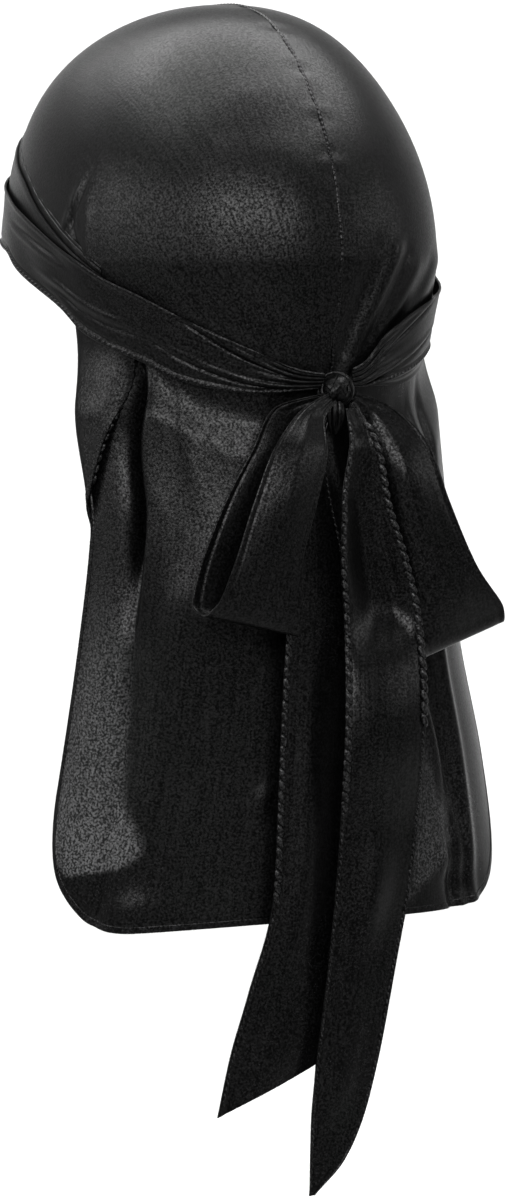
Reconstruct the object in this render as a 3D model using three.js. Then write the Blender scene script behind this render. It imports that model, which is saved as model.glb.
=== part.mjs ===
// A durag as it is worn: a two-panel crown with a centre seam, a cape that hangs over the neck, and
// two straps that go round the brow and are tied in a bow at the back of the head.
// Millimetres, +Z up. The face looks towards -Y, the knot is towards +Y, the wearer's left is +X.
// The origin is the inner apex of the crown, where the durag sits on the head.
import * as THREE from 'three';

// Cloth and the air between neighbouring pieces
const CLOTH = 1.0;
const CLEARANCE = 0.3;
const LAYER_GAP = 0.55;

// Hollow for the head, which the inside of the crown follows
const HEAD_HALF_WIDTH = 76;
const HEAD_FRONT = 94;
const HEAD_BACK = 93.5;
const CROWN_DROP = 98;
const NAPE_DROP = 60;
const NAPE_TUCK = 12;
const CROWN_LEAN = 6;
const PLAN_ROUNDNESS = 2.15;
const PROFILE_ROUNDNESS = 2.2;

// Azimuths in degrees from the brow of the two corners of a crown panel's lower edge
const PANEL_FRONT_CORNER = 50;
const PANEL_BACK_CORNER = 160;

// Seams and hems
const SEAM_WIDTH = 1.1;
const SEAM_THICKNESS = 1.6;
const FRONT_HEM_WIDTH = 6;
const FRONT_HEM_THICKNESS = 1.3;
const FRONT_HEM_ROOM = FRONT_HEM_WIDTH + 2 * CLEARANCE;
const CAPE_HEM_WIDTH = 2.6;
const CAPE_HEM_THICKNESS = 1.7;
const CAPE_HEM_START_LEFT = 0.015;
const CAPE_HEM_START_RIGHT = 0.08;

// Cape
const CAPE_TOP = 112;
const CAPE_LENGTH = 238;
const CAPE_RIGHT_LIFT = 6;
const CAPE_BREADTH = Math.PI * HEAD_HALF_WIDTH;
const CAPE_CORNER = 48;
const CAPE_TURNBACK = 15.5;
const CAPE_TURNBACK_START = 15.5;
const CAPE_ROLL = 2;
const CAPE_TUCK = 17;
const CAPE_COLUMNS = 42;
const FOLD_DEPTH = 6;

// Wraps, knot and bow
const WRAP_CLOTH = 1.0;
const WRAP_PLEAT = 0.35;
const KNOT_WIDTH = 12.4;
const KNOT_HEIGHT = 10.8;
const KNOT_DEPTH = 11.6;
const KNOT_RIDGE = 0.06;
const KNOT_DROP = 143.4;
const KNOT_SIDE = -1;
const TUCK_WIDTH = 6.8;
const TUCK_LENGTH = 8;
const LOOP_CLOTH = 1.1;
const LOOP_LEFT_LENGTH = 92;
const LOOP_RIGHT_LENGTH = 104;
const LOOP_WIDTH = 42;
const TAIL_CLOTH = 1.1;
const TAIL_LEFT_LENGTH = 271;
const TAIL_RIGHT_LENGTH = 303;
const TAIL_WIDTH = 35;

const degrees = THREE.MathUtils.degToRad;
const smoothstep = THREE.MathUtils.smoothstep;
const lerp = THREE.MathUtils.lerp;

// The knot stands against the outermost wrap at the back of the head
const UNDER_WRAP_INSIDE = Math.max(CLOTH, FRONT_HEM_THICKNESS) + LAYER_GAP;
const UNDER_WRAP_MIDDLE = UNDER_WRAP_INSIDE + WRAP_CLOTH / 2;
const OVER_WRAP_MIDDLE = UNDER_WRAP_MIDDLE + WRAP_CLOTH + LAYER_GAP;

// Lower front edge of the crown: azimuth in degrees from the brow, drop as a share of CROWN_DROP
const crownEdge = [
  { azimuth: 0, drop: 0.45 },
  { azimuth: 25, drop: 0.47 },
  { azimuth: 50, drop: 0.545 },
  { azimuth: 64, drop: 0.635 },
  { azimuth: 76, drop: 0.71 },
  { azimuth: 85, drop: 0.79 },
  { azimuth: 96, drop: 0.885 },
  { azimuth: 104, drop: 0.955 },
  { azimuth: 111, drop: 1.015 },
  { azimuth: 118, drop: 1.08 },
];

// Edge of the crown panel that lies hidden under the straps, drop as a share of CROWN_DROP
const tuckedEdge = [
  { azimuth: 118, drop: 1.08 },
  { azimuth: 126, drop: 1.18 },
  { azimuth: 140, drop: 1.3 },
  { azimuth: 155, drop: 1.385 },
  { azimuth: 168, drop: 1.43 },
  { azimuth: 180, drop: 1.445 },
];

// Straps round the head, by the turn in degrees from the knot to the brow, drops as shares of CROWN_DROP
const overWrapLeft = [
  { turn: 0, top: 1.43, bottom: 1.472 },
  { turn: 8, top: 1.415, bottom: 1.485 },
  { turn: 20, top: 1.34, bottom: 1.497 },
  { turn: 38, top: 1.213, bottom: 1.455 },
  { turn: 50, top: 1.123, bottom: 1.378 },
  { turn: 61, top: 1.06, bottom: 1.325 },
  { turn: 70, top: 0.993, bottom: 1.27 },
  { turn: 79, top: 0.939, bottom: 1.18 },
  { turn: 91, top: 0.865, bottom: 1.108 },
  { turn: 104, top: 0.793, bottom: 1.03 },
  { turn: 115, top: 0.743, bottom: 0.955 },
  { turn: 145, top: 0.64, bottom: 0.91 },
  { turn: 180, top: 0.6, bottom: 0.9 },
];
const overWrapRight = [
  { turn: 0, top: 1.43, bottom: 1.472 },
  { turn: 7, top: 1.39, bottom: 1.478 },
  { turn: 14, top: 1.275, bottom: 1.463 },
  { turn: 28, top: 1.17, bottom: 1.417 },
  { turn: 45, top: 1.11, bottom: 1.345 },
  { turn: 61, top: 1.05, bottom: 1.295 },
  { turn: 79, top: 0.939, bottom: 1.155 },
  { turn: 104, top: 0.793, bottom: 1.02 },
  { turn: 145, top: 0.64, bottom: 0.9 },
  { turn: 180, top: 0.6, bottom: 0.9 },
];
const underWrapRows = [
  { turn: 0, top: 1.445, bottom: 1.47 },
  { turn: 20, top: 1.375, bottom: 1.475 },
  { turn: 38, top: 1.27, bottom: 1.425 },
  { turn: 55, top: 1.12, bottom: 1.32 },
  { turn: 62, top: 1.055, bottom: 1.275 },
  { turn: 76, top: 0.935, bottom: 1.15 },
  { turn: 95, top: 0.77, bottom: 1.04 },
  { turn: 104, top: 0.69, bottom: 0.99 },
  { turn: 116, top: 0.613, bottom: 0.91 },
  { turn: 130, top: 0.525, bottom: 0.88 },
  { turn: 155, top: 0.455, bottom: 0.87 },
  { turn: 180, top: 0.435, bottom: 0.87 },
];

// Creases of the crown, each along a line from one place to another; lift as a share of CLOTH,
// a dent where it is below zero, width as a share of CROWN_DROP
const crownCreases = [
  { azimuth: 106, drop: 0.74, endAzimuth: 104, endDrop: 0.82, lift: -1.2, width: 0.04 },
  { azimuth: 184, drop: 1.33, endAzimuth: 196, endDrop: 1.0, lift: 1.5, width: 0.06 },
  { azimuth: 191, drop: 1.25, endAzimuth: 205, endDrop: 1.02, lift: -1.0, width: 0.045 },
  { azimuth: 175, drop: 1.33, endAzimuth: 174, endDrop: 1.1, lift: -0.8, width: 0.06 },
];

// Horizontal sections of the cape by level, a share of CAPE_LENGTH below CAPE_TOP: an ellipse whose
// half width is a share of HEAD_HALF_WIDTH, whose reach, centre and shift are shares of HEAD_BACK,
// open towards the face between its start and finish in degrees from the wearer's left
const capeSections = [
  { level: 0, side: 1.0, reach: 0.945, centre: 0.02, shift: 0, start: 15, finish: 155 },
  { level: 0.166, side: 1.03, reach: 0.94, centre: 0.043, shift: -0.024, start: 14.5, finish: 156 },
  { level: 0.345, side: 1.08, reach: 0.935, centre: 0.086, shift: -0.028, start: 20.5, finish: 156 },
  { level: 0.54, side: 1.135, reach: 0.935, centre: 0.13, shift: -0.03, start: 18, finish: 155.5 },
  { level: 0.735, side: 1.237, reach: 0.935, centre: 0.17, shift: -0.05, start: 15, finish: 155.5 },
  { level: 1, side: 1.355, reach: 0.935, centre: 0.216, shift: -0.062, start: 8.5, finish: 155 },
];

// Folds of the cape: place and drift as shares of its breadth from the wearer's left, height as a
// share of FOLD_DEPTH, width as a share of the breadth, and the levels between which the fold shows
const capeFolds = [
  { place: 0.118, drift: -0.11, height: -1.0, width: 0.03, from: 0.05, to: 0.42 },
  { place: 0.185, drift: -0.12, height: 0.45, width: 0.03, from: 0.05, to: 0.5 },
  { place: 0.225, drift: -0.3, height: -0.35, width: 0.018, from: 0.1, to: 0.32 },
  { place: 0.285, drift: -0.22, height: 0.35, width: 0.03, from: 0.1, to: 0.6 },
  { place: 0.33, drift: -0.25, height: -0.35, width: 0.02, from: 0.12, to: 0.36 },
  { place: 0.37, drift: -0.05, height: 0.3, width: 0.045, from: 0.12, to: 0.95 },
  { place: 0.13, drift: -0.02, height: -0.4, width: 0.04, from: 0.45, to: 1.1 },
  { place: 0.5, drift: 0.0, height: -0.4, width: 0.06, from: 0.12, to: 1.1 },
  { place: 0.72, drift: 0.03, height: -0.4, width: 0.04, from: 0.1, to: 1.1 },
  { place: 0.8, drift: 0.14, height: 0.55, width: 0.035, from: 0.08, to: 1.1 },
  { place: 0.87, drift: 0.12, height: -0.55, width: 0.03, from: 0.08, to: 1.1 },
];

// Courses of the bow's straps: the two edges of each section and how far it stands from the knot.
// Falls and sides are shares of the strap's length and width, and the bow of the cloth of its width.
const loopLeftCourse = [
  { step: 0, leftFall: 0.035, left: 0.13, rightFall: 0.08, right: 0.1, stand: -0.03, bow: 0.0 },
  { step: 1, leftFall: 0.09, left: 0.62, rightFall: 0.15, right: 0.29, stand: -0.09, bow: 0.02 },
  { step: 2, leftFall: 0.27, left: 0.9, rightFall: 0.27, right: 0.42, stand: -0.03, bow: 0.03 },
  { step: 3, leftFall: 0.48, left: 1.2, rightFall: 0.5, right: 0.52, stand: 0.01, bow: 0.03 },
  { step: 4, leftFall: 0.74, left: 1.46, rightFall: 0.76, right: 0.6, stand: 0.04, bow: 0.02 },
  { step: 5, leftFall: 0.87, left: 1.55, rightFall: 0.92, right: 0.6, stand: 0.1, bow: 0.01 },
  { step: 6, leftFall: 0.905, left: 1.51, rightFall: 1.0, right: 0.58, stand: 0.22, bow: 0.0 },
  { step: 7, leftFall: 0.86, left: 1.42, rightFall: 0.93, right: 0.59, stand: 0.32, bow: 0.02 },
  { step: 8, leftFall: 0.68, left: 1.26, rightFall: 0.72, right: 0.6, stand: 0.36, bow: 0.04 },
  { step: 9, leftFall: 0.46, left: 1.08, rightFall: 0.48, right: 0.46, stand: 0.35, bow: 0.04 },
  { step: 10, leftFall: 0.24, left: 0.84, rightFall: 0.28, right: 0.32, stand: 0.3, bow: 0.04 },
  { step: 11, leftFall: 0.09, left: 0.46, rightFall: 0.15, right: 0.26, stand: 0.14, bow: 0.01 },
  { step: 12, leftFall: 0.032, left: 0.13, rightFall: 0.075, right: 0.1, stand: 0.03, bow: 0.0 },
];
const loopRightCourse = [
  { step: 0, leftFall: 0.075, left: -0.085, rightFall: 0.034, right: -0.135, stand: -0.03, bow: 0.0 },
  { step: 1, leftFall: 0.16, left: -0.15, rightFall: 0.09, right: -0.48, stand: -0.1, bow: 0.0 },
  { step: 2, leftFall: 0.3, left: -0.16, rightFall: 0.25, right: -0.83, stand: -0.06, bow: 0.02 },
  { step: 3, leftFall: 0.52, left: -0.3, rightFall: 0.44, right: -1.04, stand: -0.05, bow: 0.02 },
  { step: 4, leftFall: 0.78, left: -0.56, rightFall: 0.68, right: -1.34, stand: -0.05, bow: 0.01 },
  { step: 5, leftFall: 0.93, left: -0.74, rightFall: 0.82, right: -1.6, stand: -0.04, bow: 0.0 },
  { step: 6, leftFall: 0.99, left: -0.82, rightFall: 0.87, right: -1.66, stand: 0.04, bow: 0.0 },
  { step: 7, leftFall: 0.93, left: -0.72, rightFall: 0.81, right: -1.6, stand: 0.13, bow: 0.0 },
  { step: 8, leftFall: 0.76, left: -0.52, rightFall: 0.66, right: -1.31, stand: 0.15, bow: 0.01 },
  { step: 9, leftFall: 0.5, left: -0.28, rightFall: 0.42, right: -1.02, stand: 0.14, bow: 0.02 },
  { step: 10, leftFall: 0.28, left: -0.16, rightFall: 0.22, right: -0.82, stand: 0.12, bow: 0.02 },
  { step: 11, leftFall: 0.14, left: -0.14, rightFall: 0.08, right: -0.46, stand: 0.06, bow: 0.0 },
  { step: 12, leftFall: 0.07, left: -0.085, rightFall: 0.03, right: -0.132, stand: 0.03, bow: 0.0 },
];
const tailLeftCourse = [
  { step: 0, leftFall: 0.036, left: 0.16, rightFall: 0.038, right: 0.085, stand: -0.07, bow: 0.0 },
  { step: 1, leftFall: 0.09, left: 0.34, rightFall: 0.09, right: 0.2, stand: -0.03, bow: 0.01 },
  { step: 2, leftFall: 0.14, left: 0.47, rightFall: 0.14, right: 0.16, stand: 0.0, bow: 0.02 },
  { step: 3, leftFall: 0.24, left: 0.58, rightFall: 0.24, right: -0.02, stand: 0.02, bow: 0.02 },
  { step: 4, leftFall: 0.36, left: 0.7, rightFall: 0.36, right: -0.16, stand: 0.03, bow: 0.03 },
  { step: 5, leftFall: 0.53, left: 0.78, rightFall: 0.53, right: -0.14, stand: 0.04, bow: 0.03 },
  { step: 6, leftFall: 0.7, left: 0.84, rightFall: 0.69, right: -0.08, stand: 0.02, bow: 0.03 },
  { step: 7, leftFall: 0.83, left: 1.06, rightFall: 0.81, right: 0.02, stand: -0.03, bow: 0.02 },
  { step: 8, leftFall: 0.92, left: 1.28, rightFall: 0.885, right: 0.12, stand: -0.05, bow: 0.02 },
  { step: 9, leftFall: 1.0, left: 1.43, rightFall: 0.935, right: 0.22, stand: -0.08, bow: 0.01 },
];
const tailRightCourse = [
  { step: 0, leftFall: 0.03, left: 0.02, rightFall: 0.03, right: -0.14, stand: 0.122, bow: 0.0 },
  { step: 1, leftFall: 0.08, left: 0.1, rightFall: 0.08, right: -0.28, stand: 0.3, bow: -0.06 },
  { step: 2, leftFall: 0.14, left: 0.2, rightFall: 0.14, right: -0.38, stand: 0.36, bow: -0.12 },
  { step: 3, leftFall: 0.21, left: 0.21, rightFall: 0.21, right: -0.6, stand: 0.36, bow: -0.12 },
  { step: 4, leftFall: 0.29, left: 0.14, rightFall: 0.29, right: -0.8, stand: 0.3, bow: 0.0 },
  { step: 5, leftFall: 0.4, left: 0.1, rightFall: 0.4, right: -0.88, stand: 0.26, bow: 0.04 },
  { step: 6, leftFall: 0.57, left: 0.16, rightFall: 0.57, right: -0.79, stand: 0.22, bow: 0.04 },
  { step: 7, leftFall: 0.72, left: 0.26, rightFall: 0.72, right: -0.58, stand: 0.16, bow: 0.02 },
  { step: 8, leftFall: 0.84, left: 0.38, rightFall: 0.84, right: -0.38, stand: 0.12, bow: 0.0 },
  { step: 9, leftFall: 0.91, left: 0.37, rightFall: 0.91, right: -0.22, stand: 0.08, bow: 0.0 },
  { step: 10, leftFall: 0.96, left: 0.35, rightFall: 0.96, right: 0.0, stand: 0.06, bow: 0.0 },
  { step: 11, leftFall: 1.0, left: 0.34, rightFall: 0.998, right: 0.27, stand: 0.05, bow: 0.0 },
];

// Reads every column of a table at one place along its key column, on a smooth curve
function readRows(rows, key, at) {
  const last = rows.length - 1;
  const place = THREE.MathUtils.clamp(at, rows[0][key], rows[last][key]);
  let index = 0;
  while (index < last - 1 && place > rows[index + 1][key]) index += 1;
  const start = rows[index];
  const end = rows[index + 1];
  const span = end[key] - start[key];
  const t = (place - start[key]) / span;
  const slopeBetween = (a, b, column) => (b[column] - a[column]) / (b[key] - a[key]);
  const gentle = (p, q) => (p * q > 0 ? (2 * p * q) / (p + q) : 0);
  const values = {};
  for (const column of Object.keys(start)) {
    const rise = slopeBetween(start, end, column);
    const before = index > 0 ? slopeBetween(rows[index - 1], start, column) : rise;
    const after = index < last - 1 ? slopeBetween(end, rows[index + 2], column) : rise;
    const leave = gentle(before, rise) * span;
    const arrive = gentle(rise, after) * span;
    const drop = start[column] - end[column];
    const cubic = 2 * drop + leave + arrive;
    const square = -3 * drop - 2 * leave - arrive;
    values[column] = ((cubic * t + square) * t + leave) * t + start[column];
  }
  return values;
}

// Share of the full breadth that the head has at a height, for the hollow grown outwards by grow
function breadthAt(z, grow) {
  const above = z + CROWN_DROP;
  if (above <= 0) {
    const below = Math.min(1, -above / NAPE_DROP);
    return 1 - (NAPE_TUCK / HEAD_BACK) * below ** 1.15;
  }
  const rise = Math.min(1, above / (CROWN_DROP + grow));
  return (1 - rise ** PROFILE_ROUNDNESS) ** (1 / PROFILE_ROUNDNESS);
}

// How far the crown leans towards the face at a height, between its apex and its broadest level
function leanAt(z) {
  const rise = THREE.MathUtils.clamp((z + CROWN_DROP) / CROWN_DROP, 0, 1);
  return CROWN_LEAN * Math.sin(Math.PI * rise ** 2);
}

// How far a plan position reaches out, as a share of the grown head's outline
function planReach(x, y, grow) {
  const reach = y > 0 ? HEAD_BACK : HEAD_FRONT;
  const across = Math.abs(x) / (HEAD_HALF_WIDTH + grow);
  const along = Math.abs(y) / (reach + grow);
  return (across ** PLAN_ROUNDNESS + along ** PLAN_ROUNDNESS) ** (1 / PLAN_ROUNDNESS);
}

// Point of the grown head at an azimuth in degrees from the brow and a height
function headPoint(azimuth, z, grow) {
  const x = Math.sin(degrees(azimuth));
  const y = -Math.cos(degrees(azimuth));
  const scale = breadthAt(z, grow) / planReach(x, y, grow);
  return new THREE.Vector3(x * scale, y * scale - leanAt(z), z);
}

// Point of the grown head along a ray from a place on its axis level with the nape
const AIM_HEIGHT = -(CROWN_DROP + NAPE_DROP);
function headAlong(direction, grow) {
  let near = 0;
  let far = 3 * (CROWN_DROP + NAPE_DROP);
  const point = new THREE.Vector3();
  for (let i = 0; i < 40; i += 1) {
    const reach = (near + far) / 2;
    point.copy(direction).multiplyScalar(reach);
    point.z += AIM_HEIGHT;
    const reachOut = planReach(point.x, point.y + leanAt(point.z), grow);
    const inside = point.z < grow && reachOut < breadthAt(point.z, grow);
    if (inside) near = reach;
    else far = reach;
  }
  return point;
}
function aimAt(point) {
  return new THREE.Vector3(point.x, point.y, point.z - AIM_HEIGHT).normalize();
}

// A closed wall of cloth about a middle surface of (u, v), both from 0 to 1
function clothWall(middle, thickness, columns, rows) {
  const step = 1e-3;
  const positions = [];
  const indices = [];
  const skinSize = (columns + 1) * (rows + 1);
  for (const side of [1, -1]) {
    for (let j = 0; j <= rows; j += 1) {
      for (let i = 0; i <= columns; i += 1) {
        const u = i / columns;
        const v = j / rows;
        const along = middle(Math.min(1, u + step), v).sub(middle(Math.max(0, u - step), v));
        const down = middle(u, Math.min(1, v + step)).sub(middle(u, Math.max(0, v - step)));
        const half = (typeof thickness === 'function' ? thickness(u, v) : thickness) / 2;
        const normal = along.cross(down).normalize().multiplyScalar(side * half);
        positions.push(...middle(u, v).add(normal).toArray());
      }
    }
  }
  const front = (i, j) => j * (columns + 1) + i;
  const back = (i, j) => skinSize + front(i, j);
  const quad = (a, b, c, d) => indices.push(a, b, c, a, c, d);
  for (let j = 0; j < rows; j += 1) {
    for (let i = 0; i < columns; i += 1) {
      quad(front(i, j), front(i + 1, j), front(i + 1, j + 1), front(i, j + 1));
      quad(back(i, j), back(i, j + 1), back(i + 1, j + 1), back(i + 1, j));
    }
  }
  for (let i = 0; i < columns; i += 1) {
    quad(front(i, 0), back(i, 0), back(i + 1, 0), front(i + 1, 0));
    quad(front(i + 1, rows), back(i + 1, rows), back(i, rows), front(i, rows));
  }
  for (let j = 0; j < rows; j += 1) {
    quad(front(0, j + 1), back(0, j + 1), back(0, j), front(0, j));
    quad(front(columns, j), back(columns, j), back(columns, j + 1), front(columns, j + 1));
  }
  return closedGeometry(positions, indices);
}

// Geometry from positions and triangles, turned so that its faces point out
function closedGeometry(positions, indices) {
  let volume = 0;
  const corner = (index) => new THREE.Vector3().fromArray(positions, 3 * index);
  for (let k = 0; k < indices.length; k += 3) {
    volume += corner(indices[k]).dot(corner(indices[k + 1]).cross(corner(indices[k + 2])));
  }
  if (volume < 0) indices.reverse();
  const geometry = new THREE.BufferGeometry();
  geometry.setAttribute('position', new THREE.Float32BufferAttribute(positions, 3));
  geometry.setIndex(indices);
  geometry.computeVertexNormals();
  return geometry;
}

// Lift of the crown's creases at a place of the head
function creaseLift(point) {
  const azimuth = (THREE.MathUtils.radToDeg(Math.atan2(point.x, -point.y)) + 360) % 360;
  const arc = (degrees(1) * (HEAD_HALF_WIDTH + HEAD_BACK)) / 2;
  let lift = 0;
  for (const crease of crownCreases) {
    const width = crease.width * CROWN_DROP;
    const across = (azimuth - crease.azimuth) * arc;
    const down = -point.z - crease.drop * CROWN_DROP;
    const runAcross = (crease.endAzimuth - crease.azimuth) * arc;
    const runDown = (crease.endDrop - crease.drop) * CROWN_DROP;
    const run = Math.hypot(runAcross, runDown);
    const along = (across * runAcross + down * runDown) / run;
    const aside = (across * runDown - down * runAcross) / run;
    const past = Math.max(0, -along, along - run);
    lift += crease.lift * CLOTH * Math.exp(-((aside / width) ** 2) - (past / width / 2) ** 2);
  }
  return lift;
}

// Direction of the centre seam for a share of its way from the brow over the top to the nape
function seamDirection(share) {
  const browPoint = headPoint(0, FRONT_HEM_ROOM - crownEdge[0].drop * CROWN_DROP, 0);
  const napePoint = headPoint(180, -tuckedEdge[tuckedEdge.length - 1].drop * CROWN_DROP, 0);
  const startAngle = Math.atan2(browPoint.z - AIM_HEIGHT, browPoint.y);
  const endAngle = Math.atan2(napePoint.z - AIM_HEIGHT, napePoint.y);
  const angle = lerp(startAngle, endAngle, share);
  return new THREE.Vector3(0, Math.cos(angle), Math.sin(angle));
}

// Edge of one crown panel from the brow over the ear to the nape, as a point for a share of its way
function panelEdgePoint(share, side) {
  const azimuth = lerp(PANEL_FRONT_CORNER, PANEL_BACK_CORNER, share);
  const open = readRows(crownEdge, 'azimuth', azimuth).drop * CROWN_DROP;
  const hidden = readRows(tuckedEdge, 'azimuth', azimuth).drop * CROWN_DROP;
  const last = crownEdge[crownEdge.length - 1].azimuth;
  const hiddenRoom = FRONT_HEM_ROOM * (1 - smoothstep(azimuth, last + 4, last + 14));
  const drop = azimuth < last ? open - FRONT_HEM_ROOM : hidden - hiddenRoom;
  return headPoint(side * azimuth, -drop, 0);
}

// One crown panel, from the centre seam to its edge, side 1 on the wearer's left and -1 on the right
function crownPanel(side) {
  const seamSide = side * (SEAM_WIDTH / 2 + CLEARANCE);
  const seam = (u) => {
    const middle = headAlong(seamDirection(u), 0);
    middle.x = seamSide;
    return aimAt(middle);
  };
  const edge = (u) => aimAt(panelEdgePoint(u, side));
  const brow = (v) => {
    const azimuth = lerp(0, PANEL_FRONT_CORNER, v);
    const drop = readRows(crownEdge, 'azimuth', azimuth).drop * CROWN_DROP;
    const point = headPoint(side * azimuth, FRONT_HEM_ROOM - drop, 0);
    point.x += seamSide * (1 - v);
    return aimAt(point);
  };
  const nape = (v) => {
    const azimuth = lerp(180, PANEL_BACK_CORNER, v);
    const drop = readRows(tuckedEdge, 'azimuth', azimuth).drop * CROWN_DROP;
    const point = headPoint(side * azimuth, -drop, 0);
    point.x += seamSide * (1 - v);
    return aimAt(point);
  };
  const sweep = (u, v) => {
    const from = seam(u);
    const to = edge(u);
    const angle = from.angleTo(to);
    const share = (weight) => Math.sin(weight * angle) / Math.sin(angle);
    return from.multiplyScalar(share(1 - v)).add(to.multiplyScalar(share(v)));
  };
  const middle = (u, v) => {
    const direction = sweep(u, v);
    direction.addScaledVector(brow(v).sub(sweep(0, v)), (1 - u) ** 2);
    direction.addScaledVector(nape(v).sub(sweep(1, v)), u ** 2);
    direction.normalize();
    const lift = creaseLift(headAlong(direction, 0));
    return headAlong(direction, CLOTH / 2 + lift);
  };
  return clothWall(middle, CLOTH, 22, 13);
}

// Centre seam: a narrow felled rib between the two panels
function centreSeam() {
  const middle = (u, v) => {
    const point = headAlong(seamDirection(u), SEAM_THICKNESS / 2);
    point.x = lerp(-SEAM_WIDTH / 2, SEAM_WIDTH / 2, v);
    return point;
  };
  return clothWall(middle, SEAM_THICKNESS, 36, 1);
}

// Folded hem along the crown's front edge, from under one strap over the brow to the other
function frontHem() {
  const reach = crownEdge[crownEdge.length - 1].azimuth;
  const middle = (u, v) => {
    const azimuth = lerp(-reach, reach, u);
    const drop = readRows(crownEdge, 'azimuth', Math.abs(azimuth)).drop * CROWN_DROP;
    return headPoint(azimuth, -drop + FRONT_HEM_WIDTH * (1 - v), FRONT_HEM_THICKNESS / 2);
  };
  return clothWall(middle, FRONT_HEM_THICKNESS, 52, 2);
}

// One strap round the head from the knot's left over the brow to the knot's right
function headWrap(leftRows, rightRows, middleGrow, standOff) {
  const knotEdge = 0.95 * (KNOT_WIDTH / 2) + CLEARANCE;
  const knotBack = HEAD_BACK - NAPE_TUCK + middleGrow;
  const startTurn = THREE.MathUtils.radToDeg(Math.asin((knotEdge + KNOT_SIDE) / knotBack));
  const endTurn = THREE.MathUtils.radToDeg(Math.asin((knotEdge - KNOT_SIDE) / knotBack));
  const middle = (u, v) => {
    const turn = lerp(startTurn, 360 - endTurn, u);
    const rows = turn < 180 ? leftRows : rightRows;
    const fromKnot = turn < 180 ? turn : 360 - turn;
    const band = readRows(rows, 'turn', fromKnot);
    const drop = lerp(band.top, band.bottom, v) * CROWN_DROP;
    const nearKnot = 1 - smoothstep(fromKnot, 4, 26);
    const pleat = WRAP_PLEAT * Math.cos(v * Math.PI * 4) * (1 - smoothstep(fromKnot, 20, 60));
    return headPoint(180 - turn, -drop, middleGrow + pleat * 0.3 + standOff * nearKnot);
  };
  return clothWall(middle, WRAP_CLOTH, 54, 3);
}

// Point of the cape's cloth inside a margin along its sides and foot, share across it from the
// wearer's left edge and down it from under the straps
function capePoint(across, down, margin) {
  const u = lerp(margin, CAPE_BREADTH - margin, across) / CAPE_BREADTH;
  const topAzimuth = capeTopAzimuth(turnedBack(u, 0).u);
  const edgeAzimuth = Math.min(topAzimuth, 360 - topAzimuth);
  const tucked = readRows(tuckedEdge, 'azimuth', edgeAzimuth).drop * CROWN_DROP;
  const hidden = Math.max(CAPE_TOP, tucked + LAYER_GAP);
  const turnedShare = 1 - smoothstep(u * CAPE_BREADTH, CAPE_TURNBACK, 1.5 * CAPE_TURNBACK);
  const top = -hidden - CAPE_TURNBACK_START * turnedShare;
  const bottom = margin + CAPE_RIGHT_LIFT * u - CAPE_TOP - CAPE_LENGTH;
  const corner = CAPE_CORNER - margin;
  const fromSide = Math.min(u, 1 - u) * CAPE_BREADTH - margin;
  const inset = THREE.MathUtils.clamp(1 - fromSide / corner, 0, 1);
  const rounding = corner * (1 - Math.sqrt(1 - inset ** 2.4));
  const z = lerp(top, bottom + rounding, down);
  const level = (-CAPE_TOP - z) / CAPE_LENGTH;
  const turn = turnedBack(u, level);
  const section = readRows(capeSections, 'level', level);
  const angle = degrees(lerp(section.start, section.finish, turn.u));
  const centre = section.centre * HEAD_BACK;
  const halfWidth = section.side * HEAD_HALF_WIDTH;
  const reach = section.reach * HEAD_BACK - centre;
  const x = section.shift * HEAD_BACK + halfWidth * Math.cos(angle);
  const y = centre + reach * Math.sin(angle);
  const outward = new THREE.Vector3(reach * Math.cos(angle), halfWidth * Math.sin(angle), 0).normalize();
  const hung = new THREE.Vector3(x, y, z).addScaledVector(outward, turn.rise + foldLift(turn.u, level));
  const snug = headPoint(capeTopAzimuth(turn.u), z, CLOTH / 2 + turn.rise);
  return snug.lerp(hung, smoothstep(-hidden - z, CAPE_TUCK, CAPE_TUCK * 2.4));
}

// Azimuth in degrees from the brow of a place across the cape's top
function capeTopAzimuth(u) {
  return lerp(capeSections[0].start, capeSections[0].finish, u) + 90;
}

// The left edge is rolled outwards and back over the cape at its top, and lies open further down
function turnedBack(u, level) {
  const length = CAPE_TURNBACK * (1 - smoothstep(level, 0.05, 0.36));
  const past = Math.max(0, length - u * CAPE_BREADTH);
  const bend = Math.min(Math.PI, past / CAPE_ROLL);
  const flat = past - bend * CAPE_ROLL;
  const across = Math.max(length, u * CAPE_BREADTH) - CAPE_ROLL * Math.sin(bend) + flat;
  const outermost = length - CAPE_ROLL * Math.sin(Math.min(Math.PI / 2, length / CAPE_ROLL));
  return { u: (across - outermost) / (CAPE_BREADTH - outermost), rise: CAPE_ROLL * (1 - Math.cos(bend)) };
}

// Height of the cape's folds at a share of its breadth and a level
function foldLift(u, level) {
  let lift = 0;
  for (const fold of capeFolds) {
    const place = fold.place + fold.drift * level;
    const arrive = smoothstep(level, fold.from, fold.from + 0.1);
    const fade = arrive * (1 - smoothstep(level, fold.to - 0.25, fold.to));
    lift += fold.height * FOLD_DEPTH * fade * Math.exp(-(((u - place) / fold.width) ** 2));
  }
  return lift;
}

// Places across the cape for even steps, closer together towards its sides and corners
function spreadAcross(step) {
  return (1 - Math.cos(Math.PI * step)) / 2;
}

// The cape's cloth ends just inside its hem
function cape() {
  const margin = CAPE_HEM_WIDTH + 3 * CLEARANCE;
  const middle = (u, v) => capePoint(spreadAcross(u), v ** 1.2, margin);
  return clothWall(middle, CLOTH, CAPE_COLUMNS, 18);
}

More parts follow.
